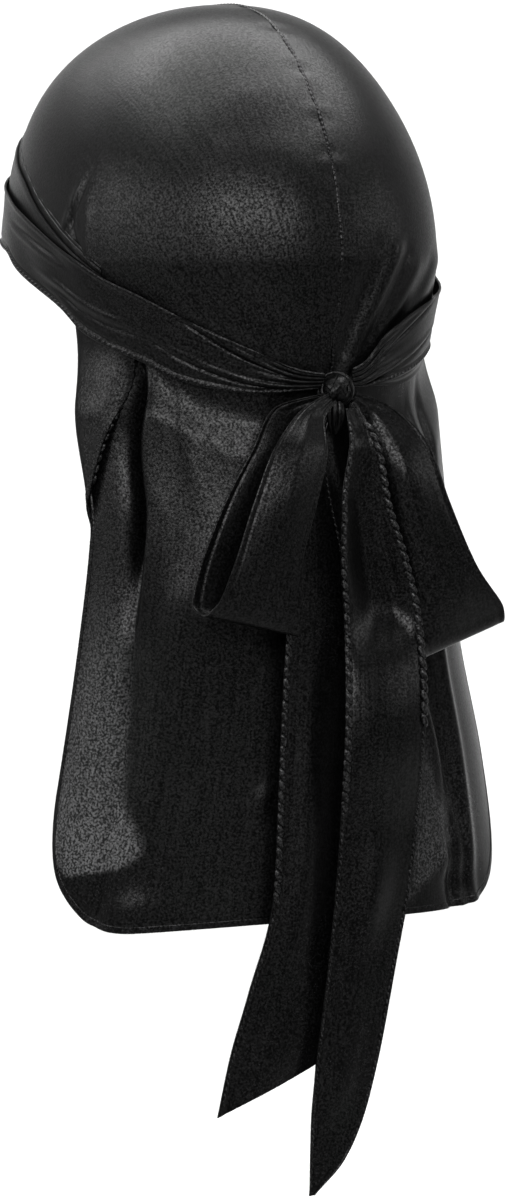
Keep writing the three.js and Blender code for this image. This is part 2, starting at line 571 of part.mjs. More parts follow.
// Overlocked hem down the cape's left side, round its foot and up its right side
function capeHem() {
  const middle = (u, v) => {
    const leg = 4 * u;
    const margin = CAPE_HEM_WIDTH * v;
    if (leg < 1) return capePoint(0, lerp(CAPE_HEM_START_LEFT, 1, leg), margin);
    if (leg > 3) return capePoint(1, lerp(1, CAPE_HEM_START_RIGHT, leg - 3), margin);
    return capePoint(spreadAcross((leg - 1) / 2), 1, margin);
  };
  return clothWall(middle, CAPE_HEM_THICKNESS, 2 * CAPE_COLUMNS, 1);
}

// A strap of the bow as a sheet through its sections
function bowStrap(course, length, width, cloth, columns, rows) {
  const last = course[course.length - 1].step;
  const rootHeight = -KNOT_DROP;
  const rootBack = knotCentre().y;
  const middle = (u, v) => {
    const row = readRows(course, 'step', v * last);
    const across = 2 * u - 1;
    const side = lerp(row.left, row.right, u) * width;
    const fall = lerp(row.leftFall, row.rightFall, u) * length;
    const back = (row.stand + row.bow * (1 - across ** 2)) * width;
    return new THREE.Vector3(KNOT_SIDE + side, rootBack + back, rootHeight - fall);
  };
  return clothWall(middle, cloth, columns, rows);
}

// Centre of the knot, whose front just clears the crown's back
function knotCentre() {
  const back = headPoint(180, -KNOT_DROP, SEAM_THICKNESS).y;
  return new THREE.Vector3(KNOT_SIDE, back + CLEARANCE + KNOT_DEPTH / 2, -KNOT_DROP);
}

// Knot: a ball of wound strap with the turns as shallow ridges
function knot() {
  const geometry = new THREE.SphereGeometry(1, 18, 10);
  const centre = knotCentre();
  const place = geometry.attributes.position;
  const point = new THREE.Vector3();
  for (let i = 0; i < place.count; i += 1) {
    point.fromBufferAttribute(place, i);
    const turns = Math.cos(6 * Math.atan2(point.z + 0.3 * point.x, point.y));
    point.multiplyScalar(1 - (KNOT_RIDGE / 2) * (1 - turns * (1 - point.x ** 2)));
    point.multiply(new THREE.Vector3(KNOT_WIDTH / 2, KNOT_DEPTH / 2, KNOT_HEIGHT / 2)).add(centre);
    place.setXYZ(i, point.x, point.y, point.z);
  }
  return weldedGeometry(geometry);
}

// Short turn of strap that comes out under the knot
function knotTuck() {
  const geometry = new THREE.SphereGeometry(1, 12, 7);
  const centre = knotCentre();
  const fall = ((1 - KNOT_RIDGE) * KNOT_HEIGHT + TUCK_LENGTH) / 2 + CLEARANCE;
  geometry.scale(TUCK_WIDTH / 2, TUCK_WIDTH / 2, TUCK_LENGTH / 2);
  geometry.translate(centre.x, centre.y, centre.z - fall);
  return weldedGeometry(geometry);
}

// Joins the doubled vertices of a ball so that its surface is closed
function weldedGeometry(geometry) {
  const place = geometry.attributes.position;
  const positions = [];
  const known = new Map();
  const numbers = [];
  for (let i = 0; i < place.count; i += 1) {
    const point = [place.getX(i), place.getY(i), place.getZ(i)];
    const name = point.map((value) => value.toFixed(4)).join(' ');
    if (!known.has(name)) {
      known.set(name, positions.length / 3);
      positions.push(...point);
    }
    numbers.push(known.get(name));
  }
  const indices = [];
  const source = geometry.index.array;
  for (let k = 0; k < source.length; k += 3) {
    const face = [numbers[source[k]], numbers[source[k + 1]], numbers[source[k + 2]]];
    if (new Set(face).size === 3) indices.push(...face);
  }
  return closedGeometry(positions, indices);
}

// Materials: black satin, its folded hems a little duller, and the knot's tighter cloth
const satin = { color: 0x151517, roughness: 0.42, metalness: 0 };
const hem = { color: 0x101012, roughness: 0.55, metalness: 0 };

function piece(name, geometry, look) {
  const mesh = new THREE.Mesh(geometry, new THREE.MeshStandardMaterial(look));
  mesh.name = name;
  return mesh;
}

const durag = new THREE.Group();
durag.add(piece('crown_left', crownPanel(1), satin));
durag.add(piece('crown_right', crownPanel(-1), satin));
durag.add(piece('centre_seam', centreSeam(), hem));
durag.add(piece('front_hem', frontHem(), hem));
durag.add(piece('wrap_under', headWrap(underWrapRows, underWrapRows, UNDER_WRAP_MIDDLE, 1.2), satin));
durag.add(piece('wrap_over', headWrap(overWrapLeft, overWrapRight, OVER_WRAP_MIDDLE, 2.6), satin));
durag.add(piece('cape', cape(), satin));
durag.add(piece('cape_hem', capeHem(), hem));
durag.add(piece('knot', knot(), satin));
durag.add(piece('knot_tuck', knotTuck(), satin));
durag.add(piece('loop_left', bowStrap(loopLeftCourse, LOOP_LEFT_LENGTH, LOOP_WIDTH, LOOP_CLOTH, 4, 22), satin));
durag.add(piece('loop_right', bowStrap(loopRightCourse, LOOP_RIGHT_LENGTH, LOOP_WIDTH, LOOP_CLOTH, 4, 22), satin));
durag.add(piece('tail_left', bowStrap(tailLeftCourse, TAIL_LEFT_LENGTH, TAIL_WIDTH, TAIL_CLOTH, 5, 18), satin));
durag.add(piece('tail_right', bowStrap(tailRightCourse, TAIL_RIGHT_LENGTH, TAIL_WIDTH, TAIL_CLOTH, 6, 20), satin));

export default durag;
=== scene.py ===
import math

import bpy
import numpy as np
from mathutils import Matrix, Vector


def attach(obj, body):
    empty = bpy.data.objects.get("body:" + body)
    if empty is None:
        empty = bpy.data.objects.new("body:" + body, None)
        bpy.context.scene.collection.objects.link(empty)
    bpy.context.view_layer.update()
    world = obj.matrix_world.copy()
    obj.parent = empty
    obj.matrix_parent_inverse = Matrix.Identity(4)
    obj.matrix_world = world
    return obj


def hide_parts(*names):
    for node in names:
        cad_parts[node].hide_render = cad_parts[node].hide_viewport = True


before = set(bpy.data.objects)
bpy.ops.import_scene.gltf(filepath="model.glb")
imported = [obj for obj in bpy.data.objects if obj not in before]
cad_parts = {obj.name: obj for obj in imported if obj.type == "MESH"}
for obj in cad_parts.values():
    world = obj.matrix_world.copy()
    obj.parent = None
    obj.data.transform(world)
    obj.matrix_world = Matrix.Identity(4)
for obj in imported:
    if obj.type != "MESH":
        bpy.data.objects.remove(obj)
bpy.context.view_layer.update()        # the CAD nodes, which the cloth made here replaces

# Lengths are millimetres here, and a mesh is made in metres. +Z is up, the face looks towards -Y,
# the knot is towards +Y, and the wearer's left is +X. The origin is the crown's inner apex.
MM = 0.001


def table(*columns, rows):
    """A short table: its rows as records with named columns."""
    return [dict(zip(columns, row)) for row in rows]


# Satin: its colours, sheen, and the scale and height of its grain in metres
DEEP_BLACK = (0.0001, 0.0001, 0.0001)
SATIN_BLACK = (0.0012, 0.0012, 0.00125)
HEM_BLACK = (0.002, 0.002, 0.0021)
THREAD_SHADE = (0.0008, 0.0008, 0.0008)
THREAD_BLACK = (0.009, 0.009, 0.0092)
# Lighter grey painted on the cape as painted backlight and painted sheen, where one thin layer lies with
# light behind it
PAINTED_BACKLIGHT_GREY = (0.02, 0.02, 0.0203)
DULL_GRAIN = (0.16, 0.16, 0.16)
BRIGHT_GRAIN = (1, 1, 1)
SATIN_SPECULAR = 0.06
ROUGHNESS_SPREAD = 0.04
THREADS_IN_LUSTRE = 0.35
THREAD_SCALE = (900, 30, 1)
THREAD_BUMP = 0.00006
GRAIN_SCALE = 1200.0
PATCH_SCALE = 22.0

# Cloth and the layers it lies in
CLOTH = 0.8
SEAM_CLOTH = 0.5
HEM_ROLL = 1.3
TUCK_CLOTH = 1.0
CROWN_GROW = 0.55
LAYER_GAP = 0.55
UNDER_WRAP_GROW = 1.7
OVER_WRAP_GROW = 2.95

# Hollow for the head
HEAD_HALF_WIDTH = 76
HEAD_FRONT = 94
HEAD_BACK = 93.5
CROWN_DROP = 98
NAPE_DROP = 60
NAPE_TUCK = 12
CROWN_LEAN = 6
PLAN_ROUNDNESS = 2.15
PROFILE_ROUNDNESS = 2.2
AIM_HEIGHT = -(CROWN_DROP + NAPE_DROP)

# Crown panels, seam and hems
PANEL_FRONT_CORNER = 50
PANEL_BACK_CORNER = 160
SEAM_WIDTH = 1.3
FRONT_HEM_WIDTH = 6
CAPE_HEM_WIDTH = 2.6

# Cape
CAPE_TOP = 112
CAPE_LENGTH = 238
CAPE_RIGHT_LIFT = 6
CAPE_BREADTH = math.pi * HEAD_HALF_WIDTH
CAPE_CORNER = 54
CAPE_TURNBACK = 36.5
CAPE_TURNBACK_END = 0.4
CAPE_ROLL = 1.6
CAPE_TUCK = 17

# Knot and bow
KNOT_WIDTH = 12.4
KNOT_DROP = 143.4
KNOT_SIDE = -1
KNOT_BACK = 92.34
KNOT_FACES = math.radians(29)
KNOT_CENTRE = np.array([0.5, 90.6, -145.3])
KNOT_ASIDE = np.array([-math.cos(KNOT_FACES), math.sin(KNOT_FACES), 0])
KNOT_OUT = np.array([math.sin(KNOT_FACES), math.cos(KNOT_FACES), 0])
TUCK_TOP = 4
TUCK_LENGTH = 12.5
LOOP_LEFT_LENGTH = 92
LOOP_RIGHT_LENGTH = 104
LOOP_WIDTH = 42
TAIL_LEFT_LENGTH = 271
TAIL_RIGHT_LENGTH = 303
TAIL_WIDTH = 35

# Overlock stitches along the raw edges, and the finer ones of a strap's hem
STITCH_PITCH = 4.2
STITCH_LENGTH = 5.6
STITCH_WIDTH = 2.5
STITCH_HEIGHT = 2.0
STITCH_SLANT = 24
STITCH_STANDS = 0.7
FINE_PITCH = 2.6
FINE_STITCH = (2.2, 0.8, 0.6)
FINE_STITCH_STANDS = 0.35
TURNED_OVER = 0.088

# Lower front edge of the crown: azimuth in degrees from the brow, drop as a share of CROWN_DROP
crown_edge = table("azimuth", "drop", rows=[
    (0, 0.45), (25, 0.47), (50, 0.545), (64, 0.635), (76, 0.71), (85, 0.79), (96, 0.885),
    (104, 0.955), (111, 1.015), (118, 1.08),
])

# Edge of a crown panel that is hidden under the straps
tucked_edge = table("azimuth", "drop", rows=[
    (118, 1.08), (126, 1.18), (140, 1.3), (155, 1.385), (168, 1.43), (180, 1.445),
])

# Straps round the head, by the turn in degrees from the knot to the brow
over_wrap_left = table("turn", "top", "bottom", rows=[
    (0, 1.43, 1.472), (8, 1.415, 1.485), (20, 1.34, 1.497), (38, 1.213, 1.455), (50, 1.123, 1.378),
    (61, 1.06, 1.325), (70, 0.993, 1.27), (79, 0.939, 1.18), (91, 0.865, 1.108),
    (104, 0.793, 1.03), (115, 0.743, 0.955), (145, 0.64, 0.91), (180, 0.6, 0.9),
])
over_wrap_right = table("turn", "top", "bottom", rows=[
    (0, 1.43, 1.472), (7, 1.39, 1.478), (14, 1.275, 1.463), (28, 1.17, 1.417), (45, 1.11, 1.345),
    (61, 1.05, 1.295), (79, 0.939, 1.155), (104, 0.793, 1.02), (145, 0.64, 0.9), (180, 0.6, 0.9),
])
under_wrap = table("turn", "top", "bottom", rows=[
    (0, 1.445, 1.47), (20, 1.375, 1.475), (38, 1.27, 1.425), (55, 1.12, 1.32), (62, 1.055, 1.275),
    (76, 0.935, 1.15), (95, 0.77, 1.04), (104, 0.69, 0.99), (116, 0.613, 0.91), (130, 0.525, 0.88),
    (155, 0.455, 0.87), (180, 0.435, 0.87),
])

# Long creases of the outer strap: place across it, lift, and the turns between which they show
wrap_creases = table("place", "lift", "start", "end", rows=[
    (0.2, -0.7, 70, 104), (0.3, 0.4, 72, 110), (0.62, 0.5, 48, 90), (0.74, -0.4, 40, 84),
])

# Creases of the crown from one place to another, lift and width in millimetres
crown_creases = table("azimuth", "drop", "to_azimuth", "to_drop", "lift", "width", rows=[
    (184.5, 1.4, 196, 0.98, 1.7, 4.2),
    (181.5, 1.36, 191, 0.96, -0.8, 4.2),
    (188, 1.32, 199, 1.0, -1.1, 2.8),
    (192, 1.33, 204, 1.05, 0.9, 3.4),
    (198, 1.25, 213, 1.02, -0.7, 3.6),
    (205, 1.2, 222, 1.0, 0.6, 4.2),
    (182, 1.38, 187, 1.05, -0.6, 3.0),
    (176, 1.36, 171, 1.14, -0.5, 3.4),
    (172, 1.36, 161, 1.17, 0.45, 4.0),
    (164, 1.33, 145, 1.18, -0.35, 3.4),
    (109, 0.75, 105.5, 0.84, -0.6, 1.6),
    (105.5, 0.84, 109.5, 0.98, -0.6, 1.6),
    (106, 0.76, 102.8, 0.85, 0.6, 2.0),
    (112, 0.82, 112.5, 0.98, 0.5, 3.0),
    (158, 0.37, 174, 0.36, 0.35, 5.0),
    (152, 0.52, 176, 0.5, -0.3, 6.0),
])

# Sections of the cape by level: its half width as a share of the head's, its reach, centre and
# shift as shares of the head's back, and the angles in degrees where it starts and finishes
cape_sections = table("level", "side", "reach", "centre", "shift", "start", "finish", rows=[
    (0, 1.0, 0.945, 0.02, 0, 15, 155),
    (0.166, 1.03, 0.94, 0.043, -0.024, 14.5, 156),
    (0.345, 1.08, 0.935, 0.086, -0.028, 20.5, 156),
    (0.54, 1.135, 0.935, 0.13, -0.03, 18, 155.5),
    (0.735, 1.237, 0.935, 0.17, -0.05, 15, 155.5),
    (1, 1.355, 0.935, 0.216, -0.062, 8.5, 155),
])

# Folds of the cape: place across it where it starts and once it has settled, lift in millimetres,
# width across it on either side, and the levels at which it starts, has settled and has gone
cape_folds = table("top", "low", "lift", "left", "right", "start", "settle", "end", rows=[
    (0.172, 0.118, -9.5, 0.027, 0.011, 0.03, 0.3, 0.55),
    (0.188, 0.134, 2.6, 0.006, 0.05, 0.03, 0.3, 0.56),
    (0.248, 0.2, -0.6, 0.014, 0.011, 0.0, 0.2, 0.22),
    (0.275, 0.23, 0.9, 0.016, 0.014, 0.02, 0.24, 0.36),
    (0.31, 0.262, -1.0, 0.022, 0.015, 0.02, 0.24, 0.3),
    (0.338, 0.31, 0.8, 0.012, 0.02, 0.04, 0.22, 0.26),
    (0.358, 0.345, -0.5, 0.009, 0.009, 0.04, 0.2, 0.22),
    (0.385, 0.36, -0.5, 0.01, 0.009, 0.05, 0.22, 0.25),
    (0.408, 0.4, 0.6, 0.012, 0.012, 0.05, 0.2, 0.26),
    (0.437, 0.43, -0.7, 0.012, 0.012, 0.05, 0.2, 0.28),
    (0.55, 0.56, -1.4, 0.02, 0.02, 0.05, 0.3, 0.5),
    (0.62, 0.64, 1.6, 0.02, 0.02, 0.05, 0.3, 0.6),
    (0.69, 0.72, -2.0, 0.02, 0.02, 0.03, 0.3, 0.5),
    (0.745, 0.79, 1.8, 0.014, 0.02, 0.0, 0.35, 0.45),
    (0.8, 0.84, -2.4, 0.016, 0.016, 0.0, 0.35, 0.4),
    (0.12, 0.142, -1.4, 0.012, 0.016, 0.42, 0.8, 1.2),
    (0.21, 0.2, 1.0, 0.03, 0.03, 0.4, 0.8, 0.95),
    (0.66, 0.8, 1.8, 0.02, 0.012, 0.4, 0.95, 1.3),
    (0.735, 0.785, -3.0, 0.02, 0.02, 0.4, 0.95, 1.3),
    (0.79, 0.83, 1.8, 0.012, 0.02, 0.4, 0.95, 1.3),
])

# Swells of the cape: place across it, level, widths across and down it as shares, lift in millimetres
cape_swells = table("place", "level", "across", "down", "lift", rows=[
    (0.27, 0.46, 0.085, 0.15, 5.5),
    (0.36, 0.34, 0.06, 0.1, 0.8),
    (0.06, 0.72, 0.05, 0.22, 2.2),
    (0.09, 0.965, 0.1, 0.045, -3.0),
    (0.2, 0.955, 0.05, 0.03, 1.6),
    (0.395, 0.78, 0.014, 0.02, 0.8),
    (0.8, 0.94, 0.05, 0.035, -2.5),
    (0.76, 0.9, 0.02, 0.02, 1.2),
])

# Stretches of the cape whose colour is painted lighter, as painted backlight through its one thin layer and
# painted sheen: the left and right border across it by level
painted_backlight_stretches = [
    table("level", "left", "right", "share", rows=[
        (0.36, -0.1, 0.0, 0.4), (0.45, -0.02, 0.1, 0.5), (0.55, -0.005, 0.128, 0.75),
        (0.65, 0.0, 0.145, 0.9), (0.78, 0.005, 0.165, 1.15), (0.86, 0.01, 0.215, 1.5),
        (0.885, 0.03, 0.19, 1.5), (0.91, 0.06, 0.065, 1.3), (0.93, 0.06, 0.05, 1.2),
    ]),
    table("level", "left", "right", "share", rows=[
        (0.52, 0.66, 0.66, 0.7), (0.577, 0.6, 0.693, 0.7), (0.66, 0.6, 0.719, 0.7),
        (0.777, 0.6, 0.748, 0.7), (0.862, 0.6, 0.795, 0.7), (0.9, 0.62, 0.76, 0.7),
        (0.95, 0.66, 0.69, 0.7), (0.97, 0.69, 0.68, 0.7),
    ]),
    table("level", "left", "right", "share", rows=[
        (0.5, 0.78, 0.83, 0.15), (0.563, 0.775, 0.832, 0.15), (0.72, 0.772, 0.85, 0.15),
        (0.859, 0.795, 0.858, 0.15), (0.9, 0.835, 0.862, 0.15), (0.93, 0.87, 0.865, 0.15),
    ]),
]

# Courses of the bow's straps: the two edges of each section and how far it stands from the knot
loop_left_course = table("step", "left_fall", "left", "right_fall", "right", "stand", "bow", rows=[
    (0, 0.035, 0.13, 0.08, 0.1, -0.03, 0.0),
    (1, 0.09, 0.62, 0.15, 0.29, -0.09, 0.02),
    (2, 0.27, 0.9, 0.27, 0.42, -0.03, 0.03),
    (3, 0.48, 1.2, 0.5, 0.52, 0.01, 0.03),
    (4, 0.74, 1.46, 0.76, 0.6, 0.04, 0.02),
    (5, 0.87, 1.55, 0.92, 0.6, 0.1, 0.01),
    (6, 0.905, 1.51, 1.0, 0.58, 0.22, 0.0),
    (7, 0.86, 1.42, 0.93, 0.59, 0.32, 0.02),
    (8, 0.68, 1.26, 0.72, 0.6, 0.36, 0.04),
    (9, 0.46, 1.08, 0.48, 0.46, 0.35, 0.04),
    (10, 0.24, 0.84, 0.28, 0.32, 0.3, 0.04),
    (11, 0.09, 0.46, 0.15, 0.26, 0.14, 0.01),
    (12, 0.032, 0.13, 0.075, 0.1, 0.03, 0.0),
])
loop_right_course = table("step", "left_fall", "left", "right_fall", "right", "stand", "bow", rows=[
    (0, 0.075, -0.085, 0.034, -0.135, -0.03, 0.0),
    (1, 0.16, -0.15, 0.09, -0.48, -0.1, 0.0),
    (2, 0.3, -0.16, 0.25, -0.83, -0.06, 0.02),
    (3, 0.52, -0.3, 0.44, -1.04, -0.05, 0.02),
    (4, 0.78, -0.56, 0.68, -1.34, -0.05, 0.01),
    (5, 0.93, -0.74, 0.82, -1.6, -0.04, 0.0),
    (6, 0.99, -0.82, 0.87, -1.66, 0.04, 0.0),
    (7, 0.93, -0.72, 0.81, -1.6, 0.13, 0.0),
    (8, 0.76, -0.52, 0.66, -1.31, 0.15, 0.01),
    (9, 0.5, -0.28, 0.42, -1.02, 0.14, 0.02),
    (10, 0.28, -0.16, 0.22, -0.82, 0.12, 0.02),
    (11, 0.14, -0.14, 0.08, -0.46, 0.06, 0.0),
    (12, 0.07, -0.085, 0.03, -0.132, 0.03, 0.0),
])
tail_left_course = table("step", "left_fall", "left", "right_fall", "right", "stand", "bow", rows=[
    (0, 0.036, 0.16, 0.038, 0.085, -0.07, 0.0),
    (1, 0.09, 0.34, 0.09, 0.2, -0.03, 0.01),
    (2, 0.14, 0.47, 0.14, 0.16, 0.0, 0.02),
    (3, 0.24, 0.58, 0.24, -0.02, 0.02, 0.02),
    (4, 0.36, 0.7, 0.36, -0.16, 0.03, 0.03),
    (5, 0.53, 0.78, 0.53, -0.14, 0.04, 0.03),
    (6, 0.7, 0.84, 0.69, -0.08, 0.02, 0.03),
    (7, 0.83, 1.11, 0.81, 0.04, -0.03, 0.02),
    (8, 0.92, 1.33, 0.885, 0.12, -0.05, 0.02),
    (9, 1.0, 1.46, 0.935, 0.22, -0.08, 0.01),
])
tail_right_course = table("step", "left_fall", "left", "right_fall", "right", "stand", "bow", rows=[
    (0, 0.03, 0.02, 0.03, -0.14, 0.122, 0.0),
    (1, 0.08, 0.1, 0.08, -0.28, 0.34, -0.04),
    (2, 0.14, 0.2, 0.14, -0.38, 0.365, -0.06),
    (3, 0.21, 0.21, 0.21, -0.6, 0.355, -0.06),
    (4, 0.29, 0.14, 0.29, -0.8, 0.3, 0.0),
    (5, 0.4, 0.1, 0.4, -0.88, 0.26, 0.04),
    (6, 0.57, 0.16, 0.57, -0.79, 0.22, 0.04),
    (7, 0.72, 0.26, 0.72, -0.58, 0.16, 0.02),
    (8, 0.84, 0.38, 0.84, -0.38, 0.12, 0.0),
    (9, 0.91, 0.41, 0.91, -0.22, 0.08, 0.0),
    (10, 0.96, 0.41, 0.96, 0.0, 0.06, 0.0),
    (11, 1.0, 0.41, 0.999, 0.355, 0.05, 0.0),
])


# Curves and shares, for whole arrays at once

def smooth(value, low, high):
    share = np.clip((value - low) / (high - low), 0, 1)
    return share * share * (3 - 2 * share)


def mix(low, high, share):
    return low + (high - low) * share


def bump(value, middle, width):
    return np.exp(-(((value - middle) / width) ** 2))


def read_rows(rows, key, at):
    """Every column of a table at places along its key column, on a smooth curve."""
    keys = np.array([row[key] for row in rows], float)
    place = np.clip(at, keys[0], keys[-1])
    index = np.clip(np.searchsorted(keys, place, side="left") - 1, 0, len(keys) - 2)
    span = keys[index + 1] - keys[index]
    share = (place - keys[index]) / span
    columns = {}
    for column in rows[0]:
        values = np.array([row[column] for row in rows], float)
        slopes = np.diff(values) / np.diff(keys)
        rise = slopes[index]
        before = slopes[np.maximum(index - 1, 0)]
        after = slopes[np.minimum(index + 1, len(slopes) - 1)]
        leave = gentle(before, rise) * span
        arrive = gentle(rise, after) * span
        drop = values[index] - values[index + 1]
        cubic = 2 * drop + leave + arrive
        square = -3 * drop - 2 * leave - arrive
        columns[column] = ((cubic * share + square) * share + leave) * share + values[index]
    return columns


def gentle(before, after):
    total = np.where(before * after > 0, before + after, 1)
    return np.where(before * after > 0, 2 * before * after / total, 0)


def drift(u, v, seed, scale):
    """Soft unevenness of cloth between -1 and 1 over a sheet, the same on every run."""
    random = np.random.default_rng(seed)
    total = np.zeros_like(u)
    for _ in range(9):
        turn = random.uniform(0, 2 * math.pi)
        pace = scale * random.uniform(0.5, 1.6)
        start = random.uniform(0, 2 * math.pi)
        total += np.sin(pace * (u * math.cos(turn) + v * math.sin(turn)) + start)
    return total / 4.5


# The head's hollow

def breadth_at(z, grow):
    above = z + CROWN_DROP
    below = np.clip(-above / NAPE_DROP, 0, 1)
    rise = np.clip(above / (CROWN_DROP + grow), 0, 1)
    nape = 1 - (NAPE_TUCK / HEAD_BACK) * below ** 1.15
    crown = (1 - rise ** PROFILE_ROUNDNESS) ** (1 / PROFILE_ROUNDNESS)
    return np.where(above <= 0, nape, crown)


def lean_at(z):
    rise = np.clip((z + CROWN_DROP) / CROWN_DROP, 0, 1)
    return CROWN_LEAN * np.sin(math.pi * rise ** 2)


def plan_reach(x, y, grow):
    reach = np.where(y > 0, HEAD_BACK, HEAD_FRONT)
    across = np.abs(x) / (HEAD_HALF_WIDTH + grow)
    along = np.abs(y) / (reach + grow)
    return (across ** PLAN_ROUNDNESS + along ** PLAN_ROUNDNESS) ** (1 / PLAN_ROUNDNESS)


def head_point(azimuth, z, grow):
    """Points of the head, grown outwards, at azimuths in degrees from the brow and heights."""
    x = np.sin(np.radians(azimuth))
    y = -np.cos(np.radians(azimuth))
    scale = breadth_at(z, grow) / plan_reach(x, y, grow)
    return np.stack([x * scale, y * scale - lean_at(z), z + 0 * x], -1)


def head_along(direction, grow):
    """Points of the grown head along rays from a place on its axis level with the nape."""
    near = np.zeros(len(direction))
    far = np.full(len(direction), 3.0 * (CROWN_DROP + NAPE_DROP))
    for _ in range(34):
        reach = (near + far) / 2
        x, y, z = (direction * reach[:, None]).T
        z = z + AIM_HEIGHT
        inside = (z < grow) & (plan_reach(x, y + lean_at(z), grow) < breadth_at(z, grow))
        near = np.where(inside, reach, near)
        far = np.where(inside, far, reach)
    points = direction * near[:, None]
    points[:, 2] += AIM_HEIGHT
    return points


def aim_at(points):
    away = points - np.array([0, 0, AIM_HEIGHT])
    return away / np.linalg.norm(away, axis=1, keepdims=True)


# Crown

def crown_lift(points):
    """Creases of the crown and the small puckers that its seam draws into the cloth."""
    azimuth = np.degrees(np.arctan2(points[:, 0], -points[:, 1])) % 360
    arc = math.radians(1) * (HEAD_HALF_WIDTH + HEAD_BACK) / 2
    lift = np.zeros(len(points))
    for crease in crown_creases:
        across = (azimuth - crease["azimuth"]) * arc
        down = -points[:, 2] - crease["drop"] * CROWN_DROP
        run_across = (crease["to_azimuth"] - crease["azimuth"]) * arc
        run_down = (crease["to_drop"] - crease["drop"]) * CROWN_DROP
        run = math.hypot(run_across, run_down)
        along = (across * run_across + down * run_down) / run
        aside = (across * run_down - down * run_across) / run
        past = np.maximum(0, np.maximum(-along, along - run))
        lift += crease["lift"] * np.exp(-((aside / crease["width"]) ** 2) - (past / 6) ** 2)
    seam_way = 100 * np.arctan2(points[:, 2] - AIM_HEIGHT, points[:, 1])
    pucker = np.sin(seam_way / 1.3) + 0.6 * np.sin(seam_way / 0.83 + 1)
    lift += 0.16 * pucker * bump(points[:, 0], 0, 5)
    lift += 0.22 * drift(points[:, 0] + 0.4 * points[:, 1], points[:, 2], 3, 0.09)
    return lift


def crown_panel(side):
    """The place of one crown panel, side 1 on the wearer's left and -1 on the right."""
    seam_side = side * 0.35
    room = 2.0

    def at_head(azimuth, drop, pull):
        points = head_point(side * azimuth, -drop, 0)
        points[:, 0] += seam_side * pull
        return aim_at(points)

    def seam(u):
        points = head_along(seam_direction(u), np.zeros(len(u)))
        points[:, 0] = seam_side
        return aim_at(points)

    def edge(u):
        azimuth = mix(PANEL_FRONT_CORNER, PANEL_BACK_CORNER, u)
        open_drop = read_rows(crown_edge, "azimuth", azimuth)["drop"] * CROWN_DROP
        hidden_drop = read_rows(tucked_edge, "azimuth", azimuth)["drop"] * CROWN_DROP
        last = crown_edge[-1]["azimuth"]
        hidden_room = room * (1 - smooth(azimuth, last + 4, last + 14))
        drop = np.where(azimuth < last, open_drop - room, hidden_drop - hidden_room)
        return at_head(azimuth, drop, 0)

    def brow(v):
        azimuth = mix(0, PANEL_FRONT_CORNER, v)
        drop = read_rows(crown_edge, "azimuth", azimuth)["drop"] * CROWN_DROP - room
        return at_head(azimuth, drop, 1 - v)

    def nape(v):
        azimuth = mix(180, PANEL_BACK_CORNER, v)
        drop = read_rows(tucked_edge, "azimuth", azimuth)["drop"] * CROWN_DROP
        return at_head(azimuth, drop, 1 - v)

    def sweep(u, v):
        start = seam(u)
        end = edge(u)
        angle = np.arccos(np.clip((start * end).sum(1), -1, 1))
        first = np.sin((1 - v) * angle) / np.sin(angle)
        second = np.sin(v * angle) / np.sin(angle)
        return start * first[:, None] + end * second[:, None]

    def place(u, v):
        direction = sweep(u, v)
        direction += (brow(v) - sweep(0 * u, v)) * ((1 - u) ** 2)[:, None]
        direction += (nape(v) - sweep(0 * u + 1, v)) * (u ** 2)[:, None]
        direction /= np.linalg.norm(direction, axis=1, keepdims=True)
        lift = crown_lift(head_along(direction, np.zeros(len(u))))
        return head_along(direction, CROWN_GROW + lift)

    return place


def seam_direction(share):
    brow_drop = crown_edge[0]["drop"] * CROWN_DROP - FRONT_HEM_WIDTH
    nape_drop = tucked_edge[-1]["drop"] * CROWN_DROP
    brow = head_point(np.array([0.0]), np.array([-brow_drop]), 0)[0]
    nape = head_point(np.array([180.0]), np.array([-nape_drop]), 0)[0]
    start = math.atan2(brow[2] - AIM_HEIGHT, brow[1])
    end = math.atan2(nape[2] - AIM_HEIGHT, nape[1])
    angle = mix(start, end, share)
    return np.stack([0 * angle, np.cos(angle), np.sin(angle)], -1)


def centre_seam(u, v):
    """A felled rib, drawn in a little by each stitch."""
    across = 2 * v - 1
    lift = 0.5 - 0.4 * across ** 2 + 0.1 * np.sin(u * 2 * math.pi * 130)
    points = head_along(seam_direction(u), CROWN_GROW + lift)
    points[:, 0] = across * SEAM_WIDTH / 2 + 0.18 * np.sin(u * 70)
    return points


def front_hem(u, v):
    """The crown's front edge folded under, with a row of stitches drawn in along its top."""
    azimuth = mix(-118, 118, u)
    drop = read_rows(crown_edge, "azimuth", np.abs(azimuth))["drop"] * CROWN_DROP
    lift = 0.35 * smooth(v, 0, 0.12) - 0.4 * bump(v, 0.2, 0.06)
    lift += 0.12 * np.sin(u * 260) * bump(v, 0.2, 0.2)
    lift += 0.25 * drift(u * 20, v, 5, 2.0)
    return head_point(azimuth, -drop + FRONT_HEM_WIDTH * (1 - v), CROWN_GROW + lift)


# Straps round the head

def head_wrap(left_rows, right_rows, grow, stand_off, detail):
    knot_edge = 0.9 * KNOT_WIDTH / 2
    knot_back = HEAD_BACK - NAPE_TUCK + grow
    start_turn = math.degrees(math.asin((knot_edge + KNOT_SIDE) / knot_back))
    end_turn = math.degrees(math.asin((knot_edge - KNOT_SIDE) / knot_back))

    def place(u, v):
        turn = mix(start_turn, 360 - end_turn, u)
        left = turn < 180
        from_knot = np.where(left, turn, 360 - turn)
        band_left = read_rows(left_rows, "turn", from_knot)
        band_right = read_rows(right_rows, "turn", from_knot)
        top = np.where(left, band_left["top"], band_right["top"])
        bottom = np.where(left, band_left["bottom"], band_right["bottom"])
        near_knot = 1 - smooth(from_knot, 4, 26)
        lift = detail(from_knot, v)
        drop = mix(top, bottom, v) * CROWN_DROP
        return head_point(180 - turn, -drop, grow + lift + stand_off * near_knot)

    return place


